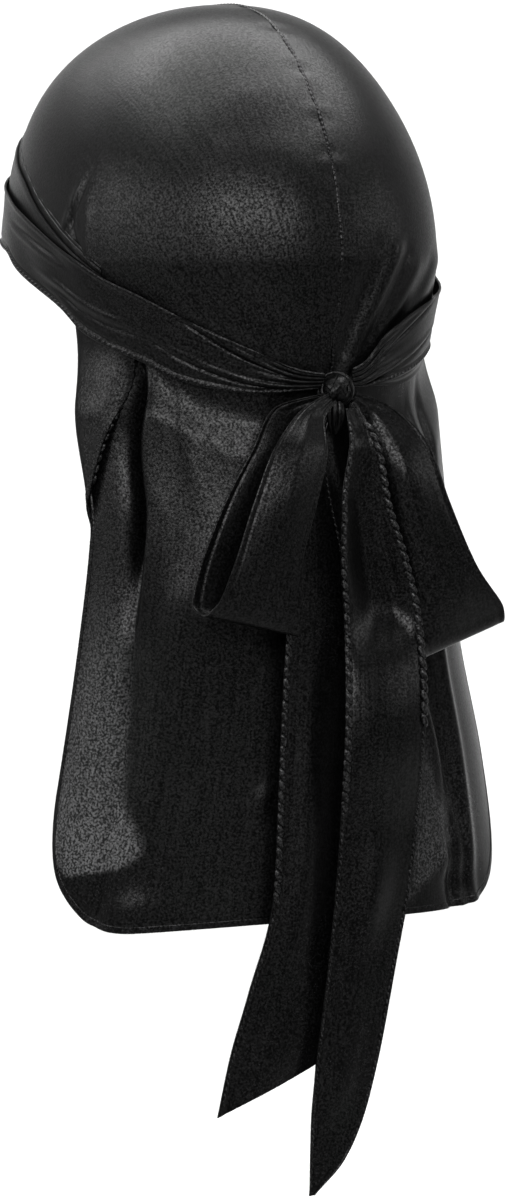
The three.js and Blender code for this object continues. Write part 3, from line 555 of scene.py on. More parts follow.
def over_wrap_detail(turn, v):
    """Pleats that run into the knot, long creases and the folded edges of the outer strap."""
    pleats = np.cos(2 * math.pi * (4.6 * v ** 0.85 + 0.015 * turn)) * (1 - smooth(turn, 9, 27))
    lift = 0.4 * pleats
    upper = 0.26 - 0.0136 * (turn - 22)
    lower = 0.8 - 0.0086 * (turn - 22)
    for place, height, end in ((upper, 0.9, 46), (lower, 0.75, 52)):
        shown = smooth(turn, 7, 12) * (1 - smooth(turn, end - 16, end))
        lift -= height * shown * bump(v, place, 0.035)
        lift += 0.6 * height * shown * bump(v, place - 0.085, 0.05)
    for crease in wrap_creases:
        shown = smooth(turn, crease["start"], crease["start"] + 14)
        shown = shown * (1 - smooth(turn, crease["end"] - 10, crease["end"] + 8))
        lift += crease["lift"] * shown * bump(v, crease["place"] + 0.004 * (turn - 80), 0.05)
    lift += 0.45 * bump(v, 0.03, 0.035) + 0.35 * bump(v, 0.97, 0.03) - 0.45 * bump(v, 0.89, 0.022)
    lift += 0.35 * drift(turn * 0.09, v * 2.2, 7, 2.4)
    return lift


def under_wrap_detail(turn, v):
    lift = 0.3 * np.cos(2 * math.pi * 4 * v) * (1 - smooth(turn, 20, 60))
    lift += 0.3 * bump(v, 0.05, 0.05) + 0.3 * drift(turn * 0.07, v * 2, 11, 2.2)
    return lift


# Cape

def turned_back(u, level):
    """The left edge is rolled outwards and back over the cape at its top."""
    length = CAPE_TURNBACK * (1 - smooth(level, 0.05, CAPE_TURNBACK_END))
    past = np.maximum(0, length - u * CAPE_BREADTH)
    bend = np.minimum(math.pi, past / CAPE_ROLL)
    flat = past - bend * CAPE_ROLL
    across = np.maximum(length, u * CAPE_BREADTH) - CAPE_ROLL * np.sin(bend) + flat
    outermost = length - CAPE_ROLL * np.sin(np.minimum(math.pi / 2, length / CAPE_ROLL))
    return (across - outermost) / (CAPE_BREADTH - outermost), CAPE_ROLL * (1 - np.cos(bend))


def cape_top_azimuth(u):
    return mix(cape_sections[0]["start"], cape_sections[0]["finish"], u) + 90


def fold_lift(u, level):
    lift = np.zeros_like(u)
    for fold in cape_folds:
        place = mix(fold["top"], fold["low"], smooth(level, fold["start"], fold["settle"]))
        fade = smooth(level, fold["start"], fold["start"] + 0.08)
        fade = fade * (1 - smooth(level, fold["end"] - 0.2, fold["end"]))
        width = np.where(u < place, fold["left"], fold["right"])
        lift += fold["lift"] * fade * bump(u, place, width)
    for swell in cape_swells:
        sideways = bump(u, swell["place"], swell["across"])
        lift += swell["lift"] * sideways * bump(level, swell["level"], swell["down"])
    return lift


def cape_shape(across, down, margin):
    """Points of the cape inside a margin along its sides and foot, with their place and level."""
    u = mix(margin, CAPE_BREADTH - margin, across) / CAPE_BREADTH
    top_azimuth = cape_top_azimuth(turned_back(u, 0 * u)[0])
    edge_azimuth = np.minimum(top_azimuth, 360 - top_azimuth)
    tucked = read_rows(tucked_edge, "azimuth", edge_azimuth)["drop"] * CROWN_DROP
    hidden = np.maximum(CAPE_TOP, tucked + LAYER_GAP)
    bottom = margin + CAPE_RIGHT_LIFT * u + 3 * bump(u, 0.45, 0.25) - CAPE_TOP - CAPE_LENGTH
    corner = CAPE_CORNER - margin
    from_side = np.minimum(u, 1 - u) * CAPE_BREADTH - margin
    inset = np.clip(1 - from_side / corner, 0, 1)
    rounding = corner * (1 - np.sqrt(1 - inset ** 2.4))
    z = mix(-hidden, bottom + rounding, down)
    level = (-CAPE_TOP - z) / CAPE_LENGTH
    turned, rise = turned_back(u, level)
    rise = rise * mix(0.25, 1, smooth(level, 0.03, 0.17))
    section = read_rows(cape_sections, "level", level)
    angle = np.radians(mix(section["start"], section["finish"], turned))
    centre = section["centre"] * HEAD_BACK
    half_width = section["side"] * HEAD_HALF_WIDTH
    reach = section["reach"] * HEAD_BACK - centre
    slack = 0.12 * drift(turned * 6, level * 3, 17, 2.0) * smooth(level, 0.1, 0.3)
    lift = rise + fold_lift(turned, level) + slack
    outward = np.stack([reach * np.cos(angle), half_width * np.sin(angle), 0 * angle], -1)
    outward /= np.linalg.norm(outward, axis=1, keepdims=True)
    x = section["shift"] * HEAD_BACK + half_width * np.cos(angle)
    hung = np.stack([x, centre + reach * np.sin(angle), z], -1) + outward * lift[:, None]
    snug = head_point(cape_top_azimuth(turned), z, CROWN_GROW + rise)
    point = mix(snug, hung, smooth(-hidden - z, CAPE_TUCK * 0.3, CAPE_TUCK * 2.6)[:, None])
    return point, turned, level


def painted_backlight_share(u, v):
    """How strongly the cape's colour is painted lighter as painted backlight and painted sheen, from 0 to
    1.
    """
    _, turned, level = cape_grid(u, v)
    share = np.zeros_like(u)
    for stretch in painted_backlight_stretches:
        border = read_rows(stretch, "level", level)
        inside = smooth(turned, border["left"] - 0.004, border["left"] + 0.016)
        inside = inside * (1 - smooth(turned, border["right"] - 0.03, border["right"] + 0.004))
        first = stretch[0]["level"]
        share = np.maximum(share, border["share"] * inside * smooth(level, first, first + 0.35))
    return share


def spread_across(step):
    return (1 - np.cos(math.pi * step)) / 2


def cape_grid(u, v):
    """The cape with its grid drawn together towards its sides and top."""
    return cape_shape(mix(u, spread_across(u), 0.5), v ** 1.1, CAPE_HEM_WIDTH * 0.4)


def cape(u, v):
    return cape_grid(u, v)[0]


def cape_hem(u, v):
    leg = 4 * u
    margin = CAPE_HEM_WIDTH * v
    foot = spread_across(np.clip((leg - 1) / 2, 0, 1))
    across = np.where(leg < 1, 0, np.where(leg > 3, 1, foot))
    down = np.where(leg < 1, mix(0.015, 1, leg), np.where(leg > 3, mix(1, 0.08, leg - 3), 1))
    return cape_shape(across, down, margin)[0]


# Bow

def bow_strap(course, length, width, detail):
    last = course[-1]["step"]

    def place(u, v):
        row = read_rows(course, "step", v * last)
        across = 2 * u - 1
        side = mix(row["left"], row["right"], u) * width
        fall = mix(row["left_fall"], row["right_fall"], u) * length
        back = (row["stand"] + row["bow"] * (1 - across ** 2)) * width
        lift = detail(across, v)
        x = KNOT_SIDE + side + lift * math.sin(KNOT_FACES)
        return np.stack([x, KNOT_BACK + back + lift * math.cos(KNOT_FACES), -KNOT_DROP - fall], -1)

    return place


def root_pleats(across, near, count, height):
    return height * np.cos(count * math.pi * across) * near


def billow(v, start, crest, end):
    """A stretch that comes forward as it falls, and goes back below its crest."""
    return smooth(v, start, crest) * (1 - smooth(v, crest, end))


def rolled_edges(across):
    """A narrow hem along both edges of a strap."""
    from_middle = np.abs(across)
    return 0.35 * smooth(from_middle, 0.9, 0.95) - 0.3 * bump(from_middle, 0.86, 0.025)


def loop_left_detail(across, v):
    near = (1 - smooth(v, 0.02, 0.16)) + smooth(v, 0.88, 0.99)
    lift = root_pleats(across, near, 2.6, 0.22) + rolled_edges(across)
    lift += 1.6 * bump(v, 0.76, 0.09) * bump(across, 0.1, 0.7)
    lift -= 1.2 * bump(v, 0.62, 0.06) * bump(across, 0.3, 0.6)
    lift += 0.3 * bump(across, 2.2 * (0.8 - v), 0.2) * smooth(v, 0.66, 0.76) * (1 - smooth(v, 0.9, 0.98))
    lift += 0.3 * drift(across, v * 9, 21, 2.2) * (1 - near)
    return lift


def loop_right_detail(across, v):
    near = (1 - smooth(v, 0.02, 0.16)) + smooth(v, 0.88, 0.99)
    lift = root_pleats(across, near, 2.6, 0.22) + rolled_edges(across)
    lift += 2.2 * bump(v, 0.8, 0.06) * bump(across, 0.2, 0.6)
    lift -= 1.6 * bump(v, 0.69, 0.04) * bump(across, 0.1, 0.6)
    beside_tail = smooth(across, -1.35, 0.15)
    lift -= 4 * (1 - beside_tail) * smooth(v, 0.55, 0.68) * (1 - smooth(v, 0.9, 0.97))
    lift += 8 * billow(1 - v, 0.03, 0.31, 0.44) * beside_tail
    lift += 0.9 * bump(v, 0.635, 0.02) * bump(across, 0.36, 0.1)
    lift += 0.3 * drift(across, v * 9, 23, 2.2) * (1 - near)
    return lift


def tail_left_detail(across, v):
    near = 1 - smooth(v, 0.02, 0.22)
    lift = root_pleats(across, near, 3, 0.3) + 0.9 * drift(across * 0.6, v * 5, 31, 2.0) * (1 - near)
    lift += 2.6 * bump(across, -0.25, 0.35) * bump(v, 0.62, 0.13)
    lift -= 1.6 * bump(across, 0.5, 0.3) * bump(v, 0.62, 0.12)
    lift += 2.6 * billow(v, 0.8, 0.93, 1.1) * bump(across, 0.0, 0.7) + 2.2 * billow(v, 0.3, 0.44, 0.54)
    return lift + rolled_edges(across)


def tail_right_detail(across, v):
    """The middle is pushed in below the knot, and the strap billows below that hollow."""
    near = 1 - smooth(v, 0.02, 0.1)
    lift = root_pleats(across, near, 2.5, 0.15)
    inside = 1 - smooth(np.abs(across - 0.05), 0.2, 0.98)
    lift -= 6.5 * billow(v, 0.09, 0.335, 0.42) * inside
    lift += 11.5 * billow(v, 0.35, 0.475, 0.54) * mix(1, 0.85, across ** 2)
    lift += 4.5 * billow(v, 0.5, 0.575, 0.63) * bump(across, 0.0, 0.45)
    lift += 2.4 * billow(v, 0.62, 0.74, 0.84) * bump(across, -0.2, 0.6)
    lift += 0.6 * drift(across * 0.6, v * 5, 37, 2.0) * (1 - near)
    return lift + 0.6 * rolled_edges(across)


# Knot

def wound_band(centre, axis, start, radius, width, thickness, swell):
    """A band wound round the knot: points for angles round its axis and round its section."""
    axis = np.array(axis, float) / np.linalg.norm(axis)
    first = np.cross(axis, start)
    first /= np.linalg.norm(first)
    second = np.cross(axis, first)

    def place(turn, section):
        out = first * np.cos(turn)[:, None] + second * np.sin(turn)[:, None]
        pleat = 1 + 0.16 * np.cos(5 * section) * np.abs(np.sin(section))
        reach = radius * (1 + swell * np.cos(turn - 0.6)) + thickness * np.cos(section) * pleat
        aside = width * np.sin(section) * (1 + 0.25 * np.sin(2 * turn + 0.5))
        return centre + out * reach[:, None] + axis * aside[:, None]

    return place


def knot_band(width, thickness, swell, tilt, radius, behind):
    """One band of the knot, its run tilted from the vertical as the camera sees it."""
    lean = math.radians(tilt)
    axis = KNOT_ASIDE * math.cos(lean) - np.array([0, 0, 1]) * math.sin(lean)
    return wound_band(KNOT_CENTRE - KNOT_OUT * behind, axis, KNOT_OUT, radius, width, thickness, swell)


def knot_ring(width, thickness, radius, behind, lean):
    """The outer band, which goes round the knot's foot and faces the way the knot faces."""
    out = KNOT_OUT + np.array([0, 0, lean])
    return wound_band(KNOT_CENTRE - out * behind, out, (0, 0, 1), radius, width, thickness, 0.05)


def knot_tuck(u, v):
    """The end of the strap under the knot, drawn into pleats."""
    across = 2 * u - 1
    half_width = 2.6 + 0.9 * np.sin(math.pi * v * 0.7) - 1.5 * v ** 3
    depth = 0.45 * np.cos(3 * math.pi * across) - 2.2 * across ** 2 + 1.4 * np.sin(math.pi * v)
    depth -= 1.6 * v ** 2
    fall = TUCK_TOP + TUCK_LENGTH * v * (1 - 0.16 * across ** 2 * v) - 0.8 * across * v
    aside = KNOT_ASIDE * (across * half_width - 0.4)[:, None]
    point = KNOT_CENTRE + aside + KNOT_OUT * (depth + 2.2)[:, None]
    point[:, 2] -= fall
    return point


# Mesh making

def pick(piece):
    bpy.ops.object.select_all(action="DESELECT")
    piece.select_set(True)
    bpy.context.view_layer.objects.active = piece


def new_shape(add, **sizes):
    """A basic shape of its own, not yet moved into place."""
    bpy.ops.object.select_all(action="DESELECT")
    add(**sizes)
    return bpy.context.object


def corners_of(piece):
    corners = np.empty(3 * len(piece.data.vertices))
    piece.data.vertices.foreach_get("co", corners)
    return corners.reshape(-1, 3)


def move_corners(piece, places):
    piece.data.vertices.foreach_set("co", (places * MM).ravel())


def dress(piece, material, slot_name, *nodes):
    """Gives a piece its finish, and puts it in the place of its CAD nodes."""
    piece.data.materials.clear()
    piece.data.materials.append(material)
    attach(piece, "root")
    if nodes:
        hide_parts(*nodes)
    return piece


def cloth_sheet(name, place, columns, rows, flat, wall, threads="v", painted_backlight=None):
    """A sheet of cloth: a grid moved to place(u, v), with a wall and rounded rims.

    The long floats of the weave run along u or v, and the last argument gives, by (u, v), the share of
    painted backlight: a lighter colour painted where light would shine through one thin layer.
    """
    piece = new_shape(bpy.ops.mesh.primitive_grid_add, x_subdivisions=columns, y_subdivisions=rows, size=1)
    piece.name = name
    piece.data.name = name
    corners = corners_of(piece)
    u = corners[:, 0] + 0.5
    v = 0.5 - corners[:, 1]
    move_corners(piece, place(u, v))
    loops = np.empty(len(piece.data.loops), int)
    piece.data.loops.foreach_get("vertex_index", loops)
    cut = np.stack([u[loops] * flat[0], -v[loops] * flat[1]], -1) * MM
    if threads == "u":
        cut = cut[:, ::-1]
    piece.data.uv_layers.active.data.foreach_set("uv", cut.ravel())
    # Stores where the colour gets painted backlight and painted sheen, a lighter grey where the sheet is
    # one thin layer
    if painted_backlight:
        layer = piece.data.attributes.new("painted_backlight", "FLOAT", "POINT")
        layer.data.foreach_set("value", painted_backlight(u, v))
    piece.data.update()
    pick(piece)
    solidify = piece.modifiers.new("wall", "SOLIDIFY")
    solidify.thickness = wall * MM
    solidify.offset = 0
    solidify.use_even_offset = False
    bpy.ops.object.modifier_apply(modifier=solidify.name)
    bevel = piece.modifiers.new("rim", "BEVEL")
    bevel.limit_method = "ANGLE"
    bevel.angle_limit = math.radians(62)
    bevel.width = 0.3 * wall * MM
    bevel.segments = 2
    bpy.ops.object.modifier_apply(modifier=bevel.name)
    bpy.ops.object.shade_smooth()
    return piece


def normals_of(place, u, v):
    step = 1e-3
    along = place(np.minimum(1, u + step), v) - place(np.maximum(0, u - step), v)
    down = place(u, np.minimum(1, v + step)) - place(u, np.maximum(0, v - step))
    normal = np.cross(along, down)
    return normal / np.maximum(np.linalg.norm(normal, axis=1, keepdims=True), 1e-9)


def even_places(place, u, v, pitch):
    """The (u, v) of points an even pitch apart along a line on a sheet."""
    points = place(u, v)
    way = np.concatenate([[0], np.cumsum(np.linalg.norm(np.diff(points, axis=0), axis=1))])
    at = np.arange(pitch / 2, way[-1], pitch)
    return np.interp(at, way, u), np.interp(at, way, v)


def stitch_shape():
    """One overlock stitch: a plump loop of thread, a little pointed at its ends."""
    stitch = new_shape(bpy.ops.mesh.primitive_uv_sphere_add, segments=8, ring_count=6, radius=0.5)
    corners = corners_of(stitch)[:, [2, 0, 1]]
    faces = [tuple(face.vertices) for face in stitch.data.polygons]
    bpy.data.objects.remove(stitch, do_unlink=True)
    return corners, faces


def stitches(name, lines, size, slant, proud):
    """Joined stitches along lines of sheets, each line as (place, u, v, side, pitch)."""
    shape, faces = stitch_shape()
    points = []
    polygons = []
    for place, u, v, side, pitch in lines:
        u, v = even_places(place, u, v, pitch)
        centres = place(u, v)
        out = normals_of(place, u, v) * side
        along = np.gradient(centres, axis=0)
        along /= np.linalg.norm(along, axis=1, keepdims=True)
        across = np.cross(out, along)
        turn = math.radians(slant)
        long_way = along * math.cos(turn) + across * math.sin(turn)
        wide_way = np.cross(out, long_way)
        for centre, first, second, third in zip(centres, long_way, wide_way, out):
            basis = np.stack([first * size[0], second * size[1], third * size[2]])
            polygons += [[index + len(points) * len(shape) for index in face] for face in faces]
            points.append(centre + third * proud + shape @ basis)
    mesh = bpy.data.meshes.new(name)
    mesh.from_pydata(np.concatenate(points) * MM, [], polygons)
    piece = bpy.data.objects.new(name, mesh)
    bpy.context.collection.objects.link(piece)
    pick(piece)
    bpy.ops.object.shade_smooth()
    return piece


def band_piece(name, place, turns=110, sides=22):
    """A closed band from a ring whose vertices are moved to place(turn, section)."""
    ring = {"major_segments": turns, "minor_segments": sides, "major_radius": 1, "minor_radius": 0.4}
    piece = new_shape(bpy.ops.mesh.primitive_torus_add, **ring)
    piece.name = name
    corners = corners_of(piece)
    turn = np.arctan2(corners[:, 1], corners[:, 0])
    section = np.arctan2(corners[:, 2], np.hypot(corners[:, 0], corners[:, 1]) - 1)
    move_corners(piece, place(turn, section))
    piece.data.update()
    bpy.ops.object.shade_smooth()
    return piece


def make_knot():
    """Bands of the strap wound round one another, over a core."""
    core = new_shape(bpy.ops.mesh.primitive_uv_sphere_add, segments=48, ring_count=28, radius=1)
    corners = corners_of(core)
    folds = 1 + 0.05 * np.sin(7 * np.arctan2(corners[:, 0], corners[:, 2])) * (1 - np.abs(corners[:, 1]))
    shaped = KNOT_ASIDE * (4.6 * corners[:, 0] * folds)[:, None] + KNOT_OUT * (4.2 * corners[:, 1])[:, None]
    shaped[:, 2] += 5.2 * corners[:, 2] * folds
    move_corners(core, shaped + KNOT_CENTRE)
    bpy.ops.object.shade_smooth()
    bands = [
        band_piece("band_front", knot_band(2.0, 1.2, 0.05, 36, 5.0, -0.6)),
        band_piece("band_cross", knot_band(2.3, 1.0, 0.04, -30, 4.7, 0.6)),
        band_piece("band_inner", knot_ring(1.2, 0.9, 4.9, -0.4, 0.12)),
        band_piece("band_outer", knot_ring(1.5, 1.0, 6.2, 1.4, -0.05)),
    ]
    knot = join("knot_bands", [core] + bands)
    face_outwards(knot)
    return knot


def join(name, pieces):
    bpy.ops.object.select_all(action="DESELECT")
    for piece in pieces:
        piece.select_set(True)
    bpy.context.view_layer.objects.active = pieces[0]
    bpy.ops.object.join()
    pieces[0].name = name
    return pieces[0]


def face_outwards(piece):
    """Turns the faces of a closed piece outwards."""
    pick(piece)
    bpy.ops.object.mode_set(mode="EDIT")
    bpy.ops.mesh.select_all(action="SELECT")
    bpy.ops.mesh.normals_make_consistent(inside=False)
    bpy.ops.object.mode_set(mode="OBJECT")


# Materials

def node(tree, kind, **inputs):
    made = tree.nodes.new(kind)
    for name, value in inputs.items():
        made.inputs[name].default_value = value
    return made


def remap(tree, source, low, high, to_low, to_high):
    """A number that runs from to_low to to_high while the source runs from low to high."""
    made = node(tree, "ShaderNodeMapRange")
    limits = {"From Min": low, "From Max": high, "To Min": to_low, "To Max": to_high}
    for name, value in limits.items():
        made.inputs[name].default_value = value
    tree.links.new(source, made.inputs["Value"])
    return made.outputs["Result"]


def calculate(tree, operation, first, second):
    made = node(tree, "ShaderNodeMath")
    made.operation = operation
    tree.links.new(first, made.inputs[0])
    tree.links.new(second, made.inputs[1])
    return made.outputs["Value"]


def ramp(tree, source, low, low_colour, high, high_colour):
    made = node(tree, "ShaderNodeValToRGB")
    first, last = made.color_ramp.elements
    first.position = low
    first.color = (*low_colour, 1)
    last.position = high
    last.color = (*high_colour, 1)
    tree.links.new(source, made.inputs["Fac"])
    return made.outputs["Color"]


def bumped(tree, source, strength, distance):
    made = node(tree, "ShaderNodeBump", Strength=strength, Distance=distance)
    tree.links.new(source, made.inputs["Height"])
    return made


def satin_material(name, dark, light, roughness, grain, painted_backlight_colour=None):
    """Black satin: long smooth floats along the cut, a fine grain and slightly uneven colour.

    The last argument is a painted backlight colour: a lighter colour painted where the cloth is one thin
    layer with light behind it, standing in for the light that shines through.
    """
    material = bpy.data.materials.new(name)
    material.use_nodes = True
    tree = material.node_tree
    tree.nodes.clear()
    link = tree.links.new
    output = node(tree, "ShaderNodeOutputMaterial")
    shader = node(tree, "ShaderNodeBsdfPrincipled")
    shader.inputs["Specular IOR Level"].default_value = SATIN_SPECULAR
    link(shader.outputs["BSDF"], output.inputs["Surface"])

    cut = node(tree, "ShaderNodeUVMap")
    threads = node(tree, "ShaderNodeMapping", Scale=THREAD_SCALE)
    link(cut.outputs["UV"], threads.inputs["Vector"])
    thread_noise = node(tree, "ShaderNodeTexNoise", Scale=1.0, Detail=2.0)
    link(threads.outputs["Vector"], thread_noise.inputs["Vector"])
    where = node(tree, "ShaderNodeTexCoord")
    grain_noise = node(tree, "ShaderNodeTexNoise", Scale=GRAIN_SCALE, Detail=2.0)
    link(where.outputs["Object"], grain_noise.inputs["Vector"])
    patch_noise = node(tree, "ShaderNodeTexNoise", Scale=PATCH_SCALE, Detail=3.0)
    link(where.outputs["Object"], patch_noise.inputs["Vector"])
    thread_share = thread_noise.outputs["Fac"]
    grain_share = grain_noise.outputs["Fac"]

    colour = ramp(tree, grain_share, 0.45, dark, 0.8, light)
    # Painted backlight and painted sheen: a lighter grey mixed into the colour where the cape is one thin
    # layer
    if painted_backlight_colour:
        colour = paint_backlight(tree, colour, thread_share, grain_share, painted_backlight_colour)
    link(colour, shader.inputs["Base Color"])

    rough, smoother = roughness + ROUGHNESS_SPREAD, roughness - ROUGHNESS_SPREAD
    uneven = remap(tree, patch_noise.outputs["Fac"], 0.3, 0.7, smoother, rough)
    speckle = remap(tree, grain_share, 0.35, 0.65, ROUGHNESS_SPREAD, -ROUGHNESS_SPREAD)
    link(calculate(tree, "ADD", uneven, speckle), shader.inputs["Roughness"])

    woven = node(tree, "ShaderNodeMath")
    woven.operation = "MULTIPLY_ADD"
    woven.inputs[1].default_value = THREADS_IN_LUSTRE
    link(thread_share, woven.inputs[0])
    link(grain_share, woven.inputs[2])
    lustre = ramp(tree, woven.outputs["Value"], 0.53, DULL_GRAIN, 0.86, BRIGHT_GRAIN)
    link(lustre, shader.inputs["Specular Tint"])

    thread_bump = bumped(tree, thread_share, 0.5, THREAD_BUMP)
    grain_bump = bumped(tree, grain_share, 0.8, grain)
    link(thread_bump.outputs["Normal"], grain_bump.inputs["Normal"])
    link(grain_bump.outputs["Normal"], shader.inputs["Normal"])
    lay_out(tree)
    return material


def paint_backlight(tree, colour, thread_share, grain_share, painted_backlight_colour):
    """Mixes in the painted backlight colour by the sheet's own share of it, streaked along the threads."""
    streaks = remap(tree, thread_share, 0.3, 0.7, 0.55, 1.0)
    crinkle = remap(tree, grain_share, 0.42, 0.66, 0.12, 1.0)
    painted_backlight = node(tree, "ShaderNodeAttribute")
    painted_backlight.attribute_name = "painted_backlight"
    woven = calculate(tree, "MULTIPLY", crinkle, streaks)
    amount = calculate(tree, "MULTIPLY", painted_backlight.outputs["Fac"], woven)
    painted_backlight_mix = node(tree, "ShaderNodeMixRGB")
    painted_backlight_mix.inputs["Color2"].default_value = (*painted_backlight_colour, 1)
    tree.links.new(amount, painted_backlight_mix.inputs["Fac"])
    tree.links.new(colour, painted_backlight_mix.inputs["Color1"])
    return painted_backlight_mix.outputs[0]


def lay_out(tree):
    """Sets a material's nodes out in rows, for whoever opens it."""
    for index, item in enumerate(tree.nodes):
        item.location = (index % 6 * 240, -(index // 6) * 340)


# Stage

def stage_material(name, colour, roughness):
    """A plain pale finish on the stage's inner side, which its outer side doesn't have."""
    material = bpy.data.materials.new(name)
    material.use_nodes = True
    tree = material.node_tree
    shader = tree.nodes["Principled BSDF"]
    shader.inputs["Base Color"].default_value = (*colour, 1)
    shader.inputs["Roughness"].default_value = roughness
    facing = node(tree, "ShaderNodeNewGeometry")
    clear = node(tree, "ShaderNodeBsdfTransparent")
    side = node(tree, "ShaderNodeMixShader")
    tree.links.new(facing.outputs["Backfacing"], side.inputs[0])
    tree.links.new(shader.outputs[0], side.inputs[1])
    tree.links.new(clear.outputs[0], side.inputs[2])
    tree.links.new(side.outputs[0], tree.nodes["Material Output"].inputs["Surface"])
    lay_out(tree)
    return material


def pale_stage():
    """A pale floor that rises all round the durag in one sweep, like a studio's bowl."""
    stage = new_shape(bpy.ops.mesh.primitive_grid_add, x_subdivisions=96, y_subdivisions=40, size=1)
    stage.name = "studio_bowl"
    corners = corners_of(stage)
    turn = 2 * math.pi * (corners[:, 0] + 0.5)
    way = (0.5 - corners[:, 1]) * (STAGE_FLAT + STAGE_BEND * math.pi / 2 + STAGE_WALL)
    bend = np.clip((way - STAGE_FLAT) / STAGE_BEND, 0, math.pi / 2)
    reach = np.minimum(way, STAGE_FLAT) + STAGE_BEND * np.sin(bend)
    height = STAGE_BEND * (1 - np.cos(bend)) + np.maximum(0, way - STAGE_FLAT - STAGE_BEND * math.pi / 2)
    places = np.stack([reach * np.sin(turn), -reach * np.cos(turn), height + STAGE_FLOOR], -1)
    move_corners(stage, places)
    bpy.ops.object.shade_smooth()
    stage.data.materials.append(stage_material("pale_stage", STAGE_COLOUR, 0.8))


# Floor of the stage, its flat middle, the bend round it and the wall above that
STAGE_FLOOR = -620
STAGE_FLAT = 1700
STAGE_BEND = 900
STAGE_WALL = 1600
STAGE_COLOUR = (0.3, 0.3, 0.3)
SKY_STRENGTH = 0.2

# Camera at the photograph's angle: azimuth from the brow, elevation, the place it looks at and
# how far it stands from it, with a lens that gives the photograph's 2.59 pixels to a millimetre
CAMERA_AZIMUTH = 151
CAMERA_ELEVATION = 4
CAMERA_TARGET = (-3.9, 20.4, -228.2)
CAMERA_DISTANCE = 1800
CAMERA_LENS = 139.9
LIGHT_AIM = -100

# Soft lights: azimuth from the camera's, elevation, distance and size in metres, and radiance
soft_lights = table("name", "azimuth", "elevation", "distance", "width", "height", "brightness", rows=[
    ("overhead", 180, 89, 0.75, 1.35, 0.8, 19),
    ("behind_left", -130, 44, 1.6, 0.9, 0.8, 5.5),
    ("front", 2, 22, 2.2, 2.3, 0.8, 40),
    ("front_left", -60, 16, 2.2, 2.6, 0.6, 20),
    ("right", 80, 16, 2.2, 1.6, 0.8, 6),
])
BACKDROP_LIGHT_REACH = 1.3
BACKDROP_LIGHT_HEIGHT = 0.9
BACKDROP_LIGHT_SIZE = (1.6, 0.5)
BACKDROP_LIGHT_POWER = 40


def camera_side():
    azimuth = math.radians(CAMERA_AZIMUTH)
    elevation = math.radians(CAMERA_ELEVATION)
    level = math.cos(elevation)
    return Vector((math.sin(azimuth) * level, -math.cos(azimuth) * level, math.sin(elevation)))


def set_camera():
    bpy.ops.object.camera_add()
    camera = bpy.context.object
    target = Vector(CAMERA_TARGET) * MM
    camera.location = target + camera_side() * CAMERA_DISTANCE * MM
    camera.rotation_euler = (target - camera.location).to_track_quat("-Z", "Y").to_euler()
    camera.data.lens = CAMERA_LENS
    bpy.context.scene.camera = camera


def area_light(name, place, size, power, facing):
    bpy.ops.object.light_add(type="AREA", location=place)
    light = bpy.context.object
    light.name = name
    light.data.shape = "RECTANGLE"
    light.data.size, light.data.size_y = size
    light.data.energy = power
    light.rotation_euler = facing.to_track_quat("-Z", "Y").to_euler()


def soft_light(name, azimuth, elevation, distance, size, brightness):
    """A soft rectangular light that faces the durag from a side and height, by its radiance."""
    turn = math.radians(azimuth)
    rise = math.radians(elevation)
    side = Vector((math.sin(turn) * math.cos(rise), -math.cos(turn) * math.cos(rise), math.sin(rise)))
    target = Vector((0, 0, LIGHT_AIM * MM))
    place = target + side * distance
    area_light(name, place, size, math.pi * brightness * size[0] * size[1], target - place)


def backdrop_light():
    """Lights the stage behind the durag, and faces away from it."""
    turn = math.radians(CAMERA_AZIMUTH + 180)
    away = Vector((math.sin(turn), -math.cos(turn), 0))
    place = away * BACKDROP_LIGHT_REACH + Vector((0, 0, BACKDROP_LIGHT_HEIGHT))
    down = Vector((0, 0, -1.0))
    area_light("backdrop", place, BACKDROP_LIGHT_SIZE, BACKDROP_LIGHT_POWER, away + down)


def set_lights():
    for light in soft_lights:
        azimuth = CAMERA_AZIMUTH + light["azimuth"]
        size = (light["width"], light["height"])
        soft_light(light["name"], azimuth, light["elevation"], light["distance"], size, light["brightness"])
    backdrop_light()
    world = bpy.data.worlds.new("studio")
    world.use_nodes = True
    world.node_tree.nodes["Background"].inputs["Color"].default_value = (1, 1, 1, 1)
    world.node_tree.nodes["Background"].inputs["Strength"].default_value = SKY_STRENGTH
    bpy.context.scene.world = world
    bpy.context.scene.view_settings.view_transform = "Standard"


# The durag

satin = satin_material("black_satin", DEEP_BLACK, SATIN_BLACK, 0.39, 0.00008)
strap_satin = satin_material("strap_satin", DEEP_BLACK, SATIN_BLACK, 0.32, 0.00006)
# The cape's satin carries painted backlight and painted sheen in its colour
cape_satin_with_painted_backlight = satin_material("cape_satin_with_painted_backlight", DEEP_BLACK, SATIN_BLACK, 0.33, 0.00007, painted_backlight_colour=PAINTED_BACKLIGHT_GREY)
satin_hem = satin_material("satin_hem", DEEP_BLACK, HEM_BLACK, 0.3, 0.00006)
thread = satin_material("sewing_thread", THREAD_SHADE, THREAD_BLACK, 0.33, 0.00006)

set_camera()

for side, name in ((1, "crown_left"), (-1, "crown_right")):
    panel = cloth_sheet(name + "_cloth", crown_panel(side), 180, 112, (250, 140), CLOTH, threads="u")
    dress(panel, satin, "satin", name)
seam_rib = cloth_sheet("centre_seam_rib", centre_seam, 520, 6, (290, SEAM_WIDTH), SEAM_CLOTH)
dress(seam_rib, satin_hem, "hem", "centre_seam")
hem_strip = cloth_sheet("front_hem_strip", front_hem, 380, 16, (360, FRONT_HEM_WIDTH), CLOTH, threads="u")
dress(hem_strip, satin, "hem", "front_hem")

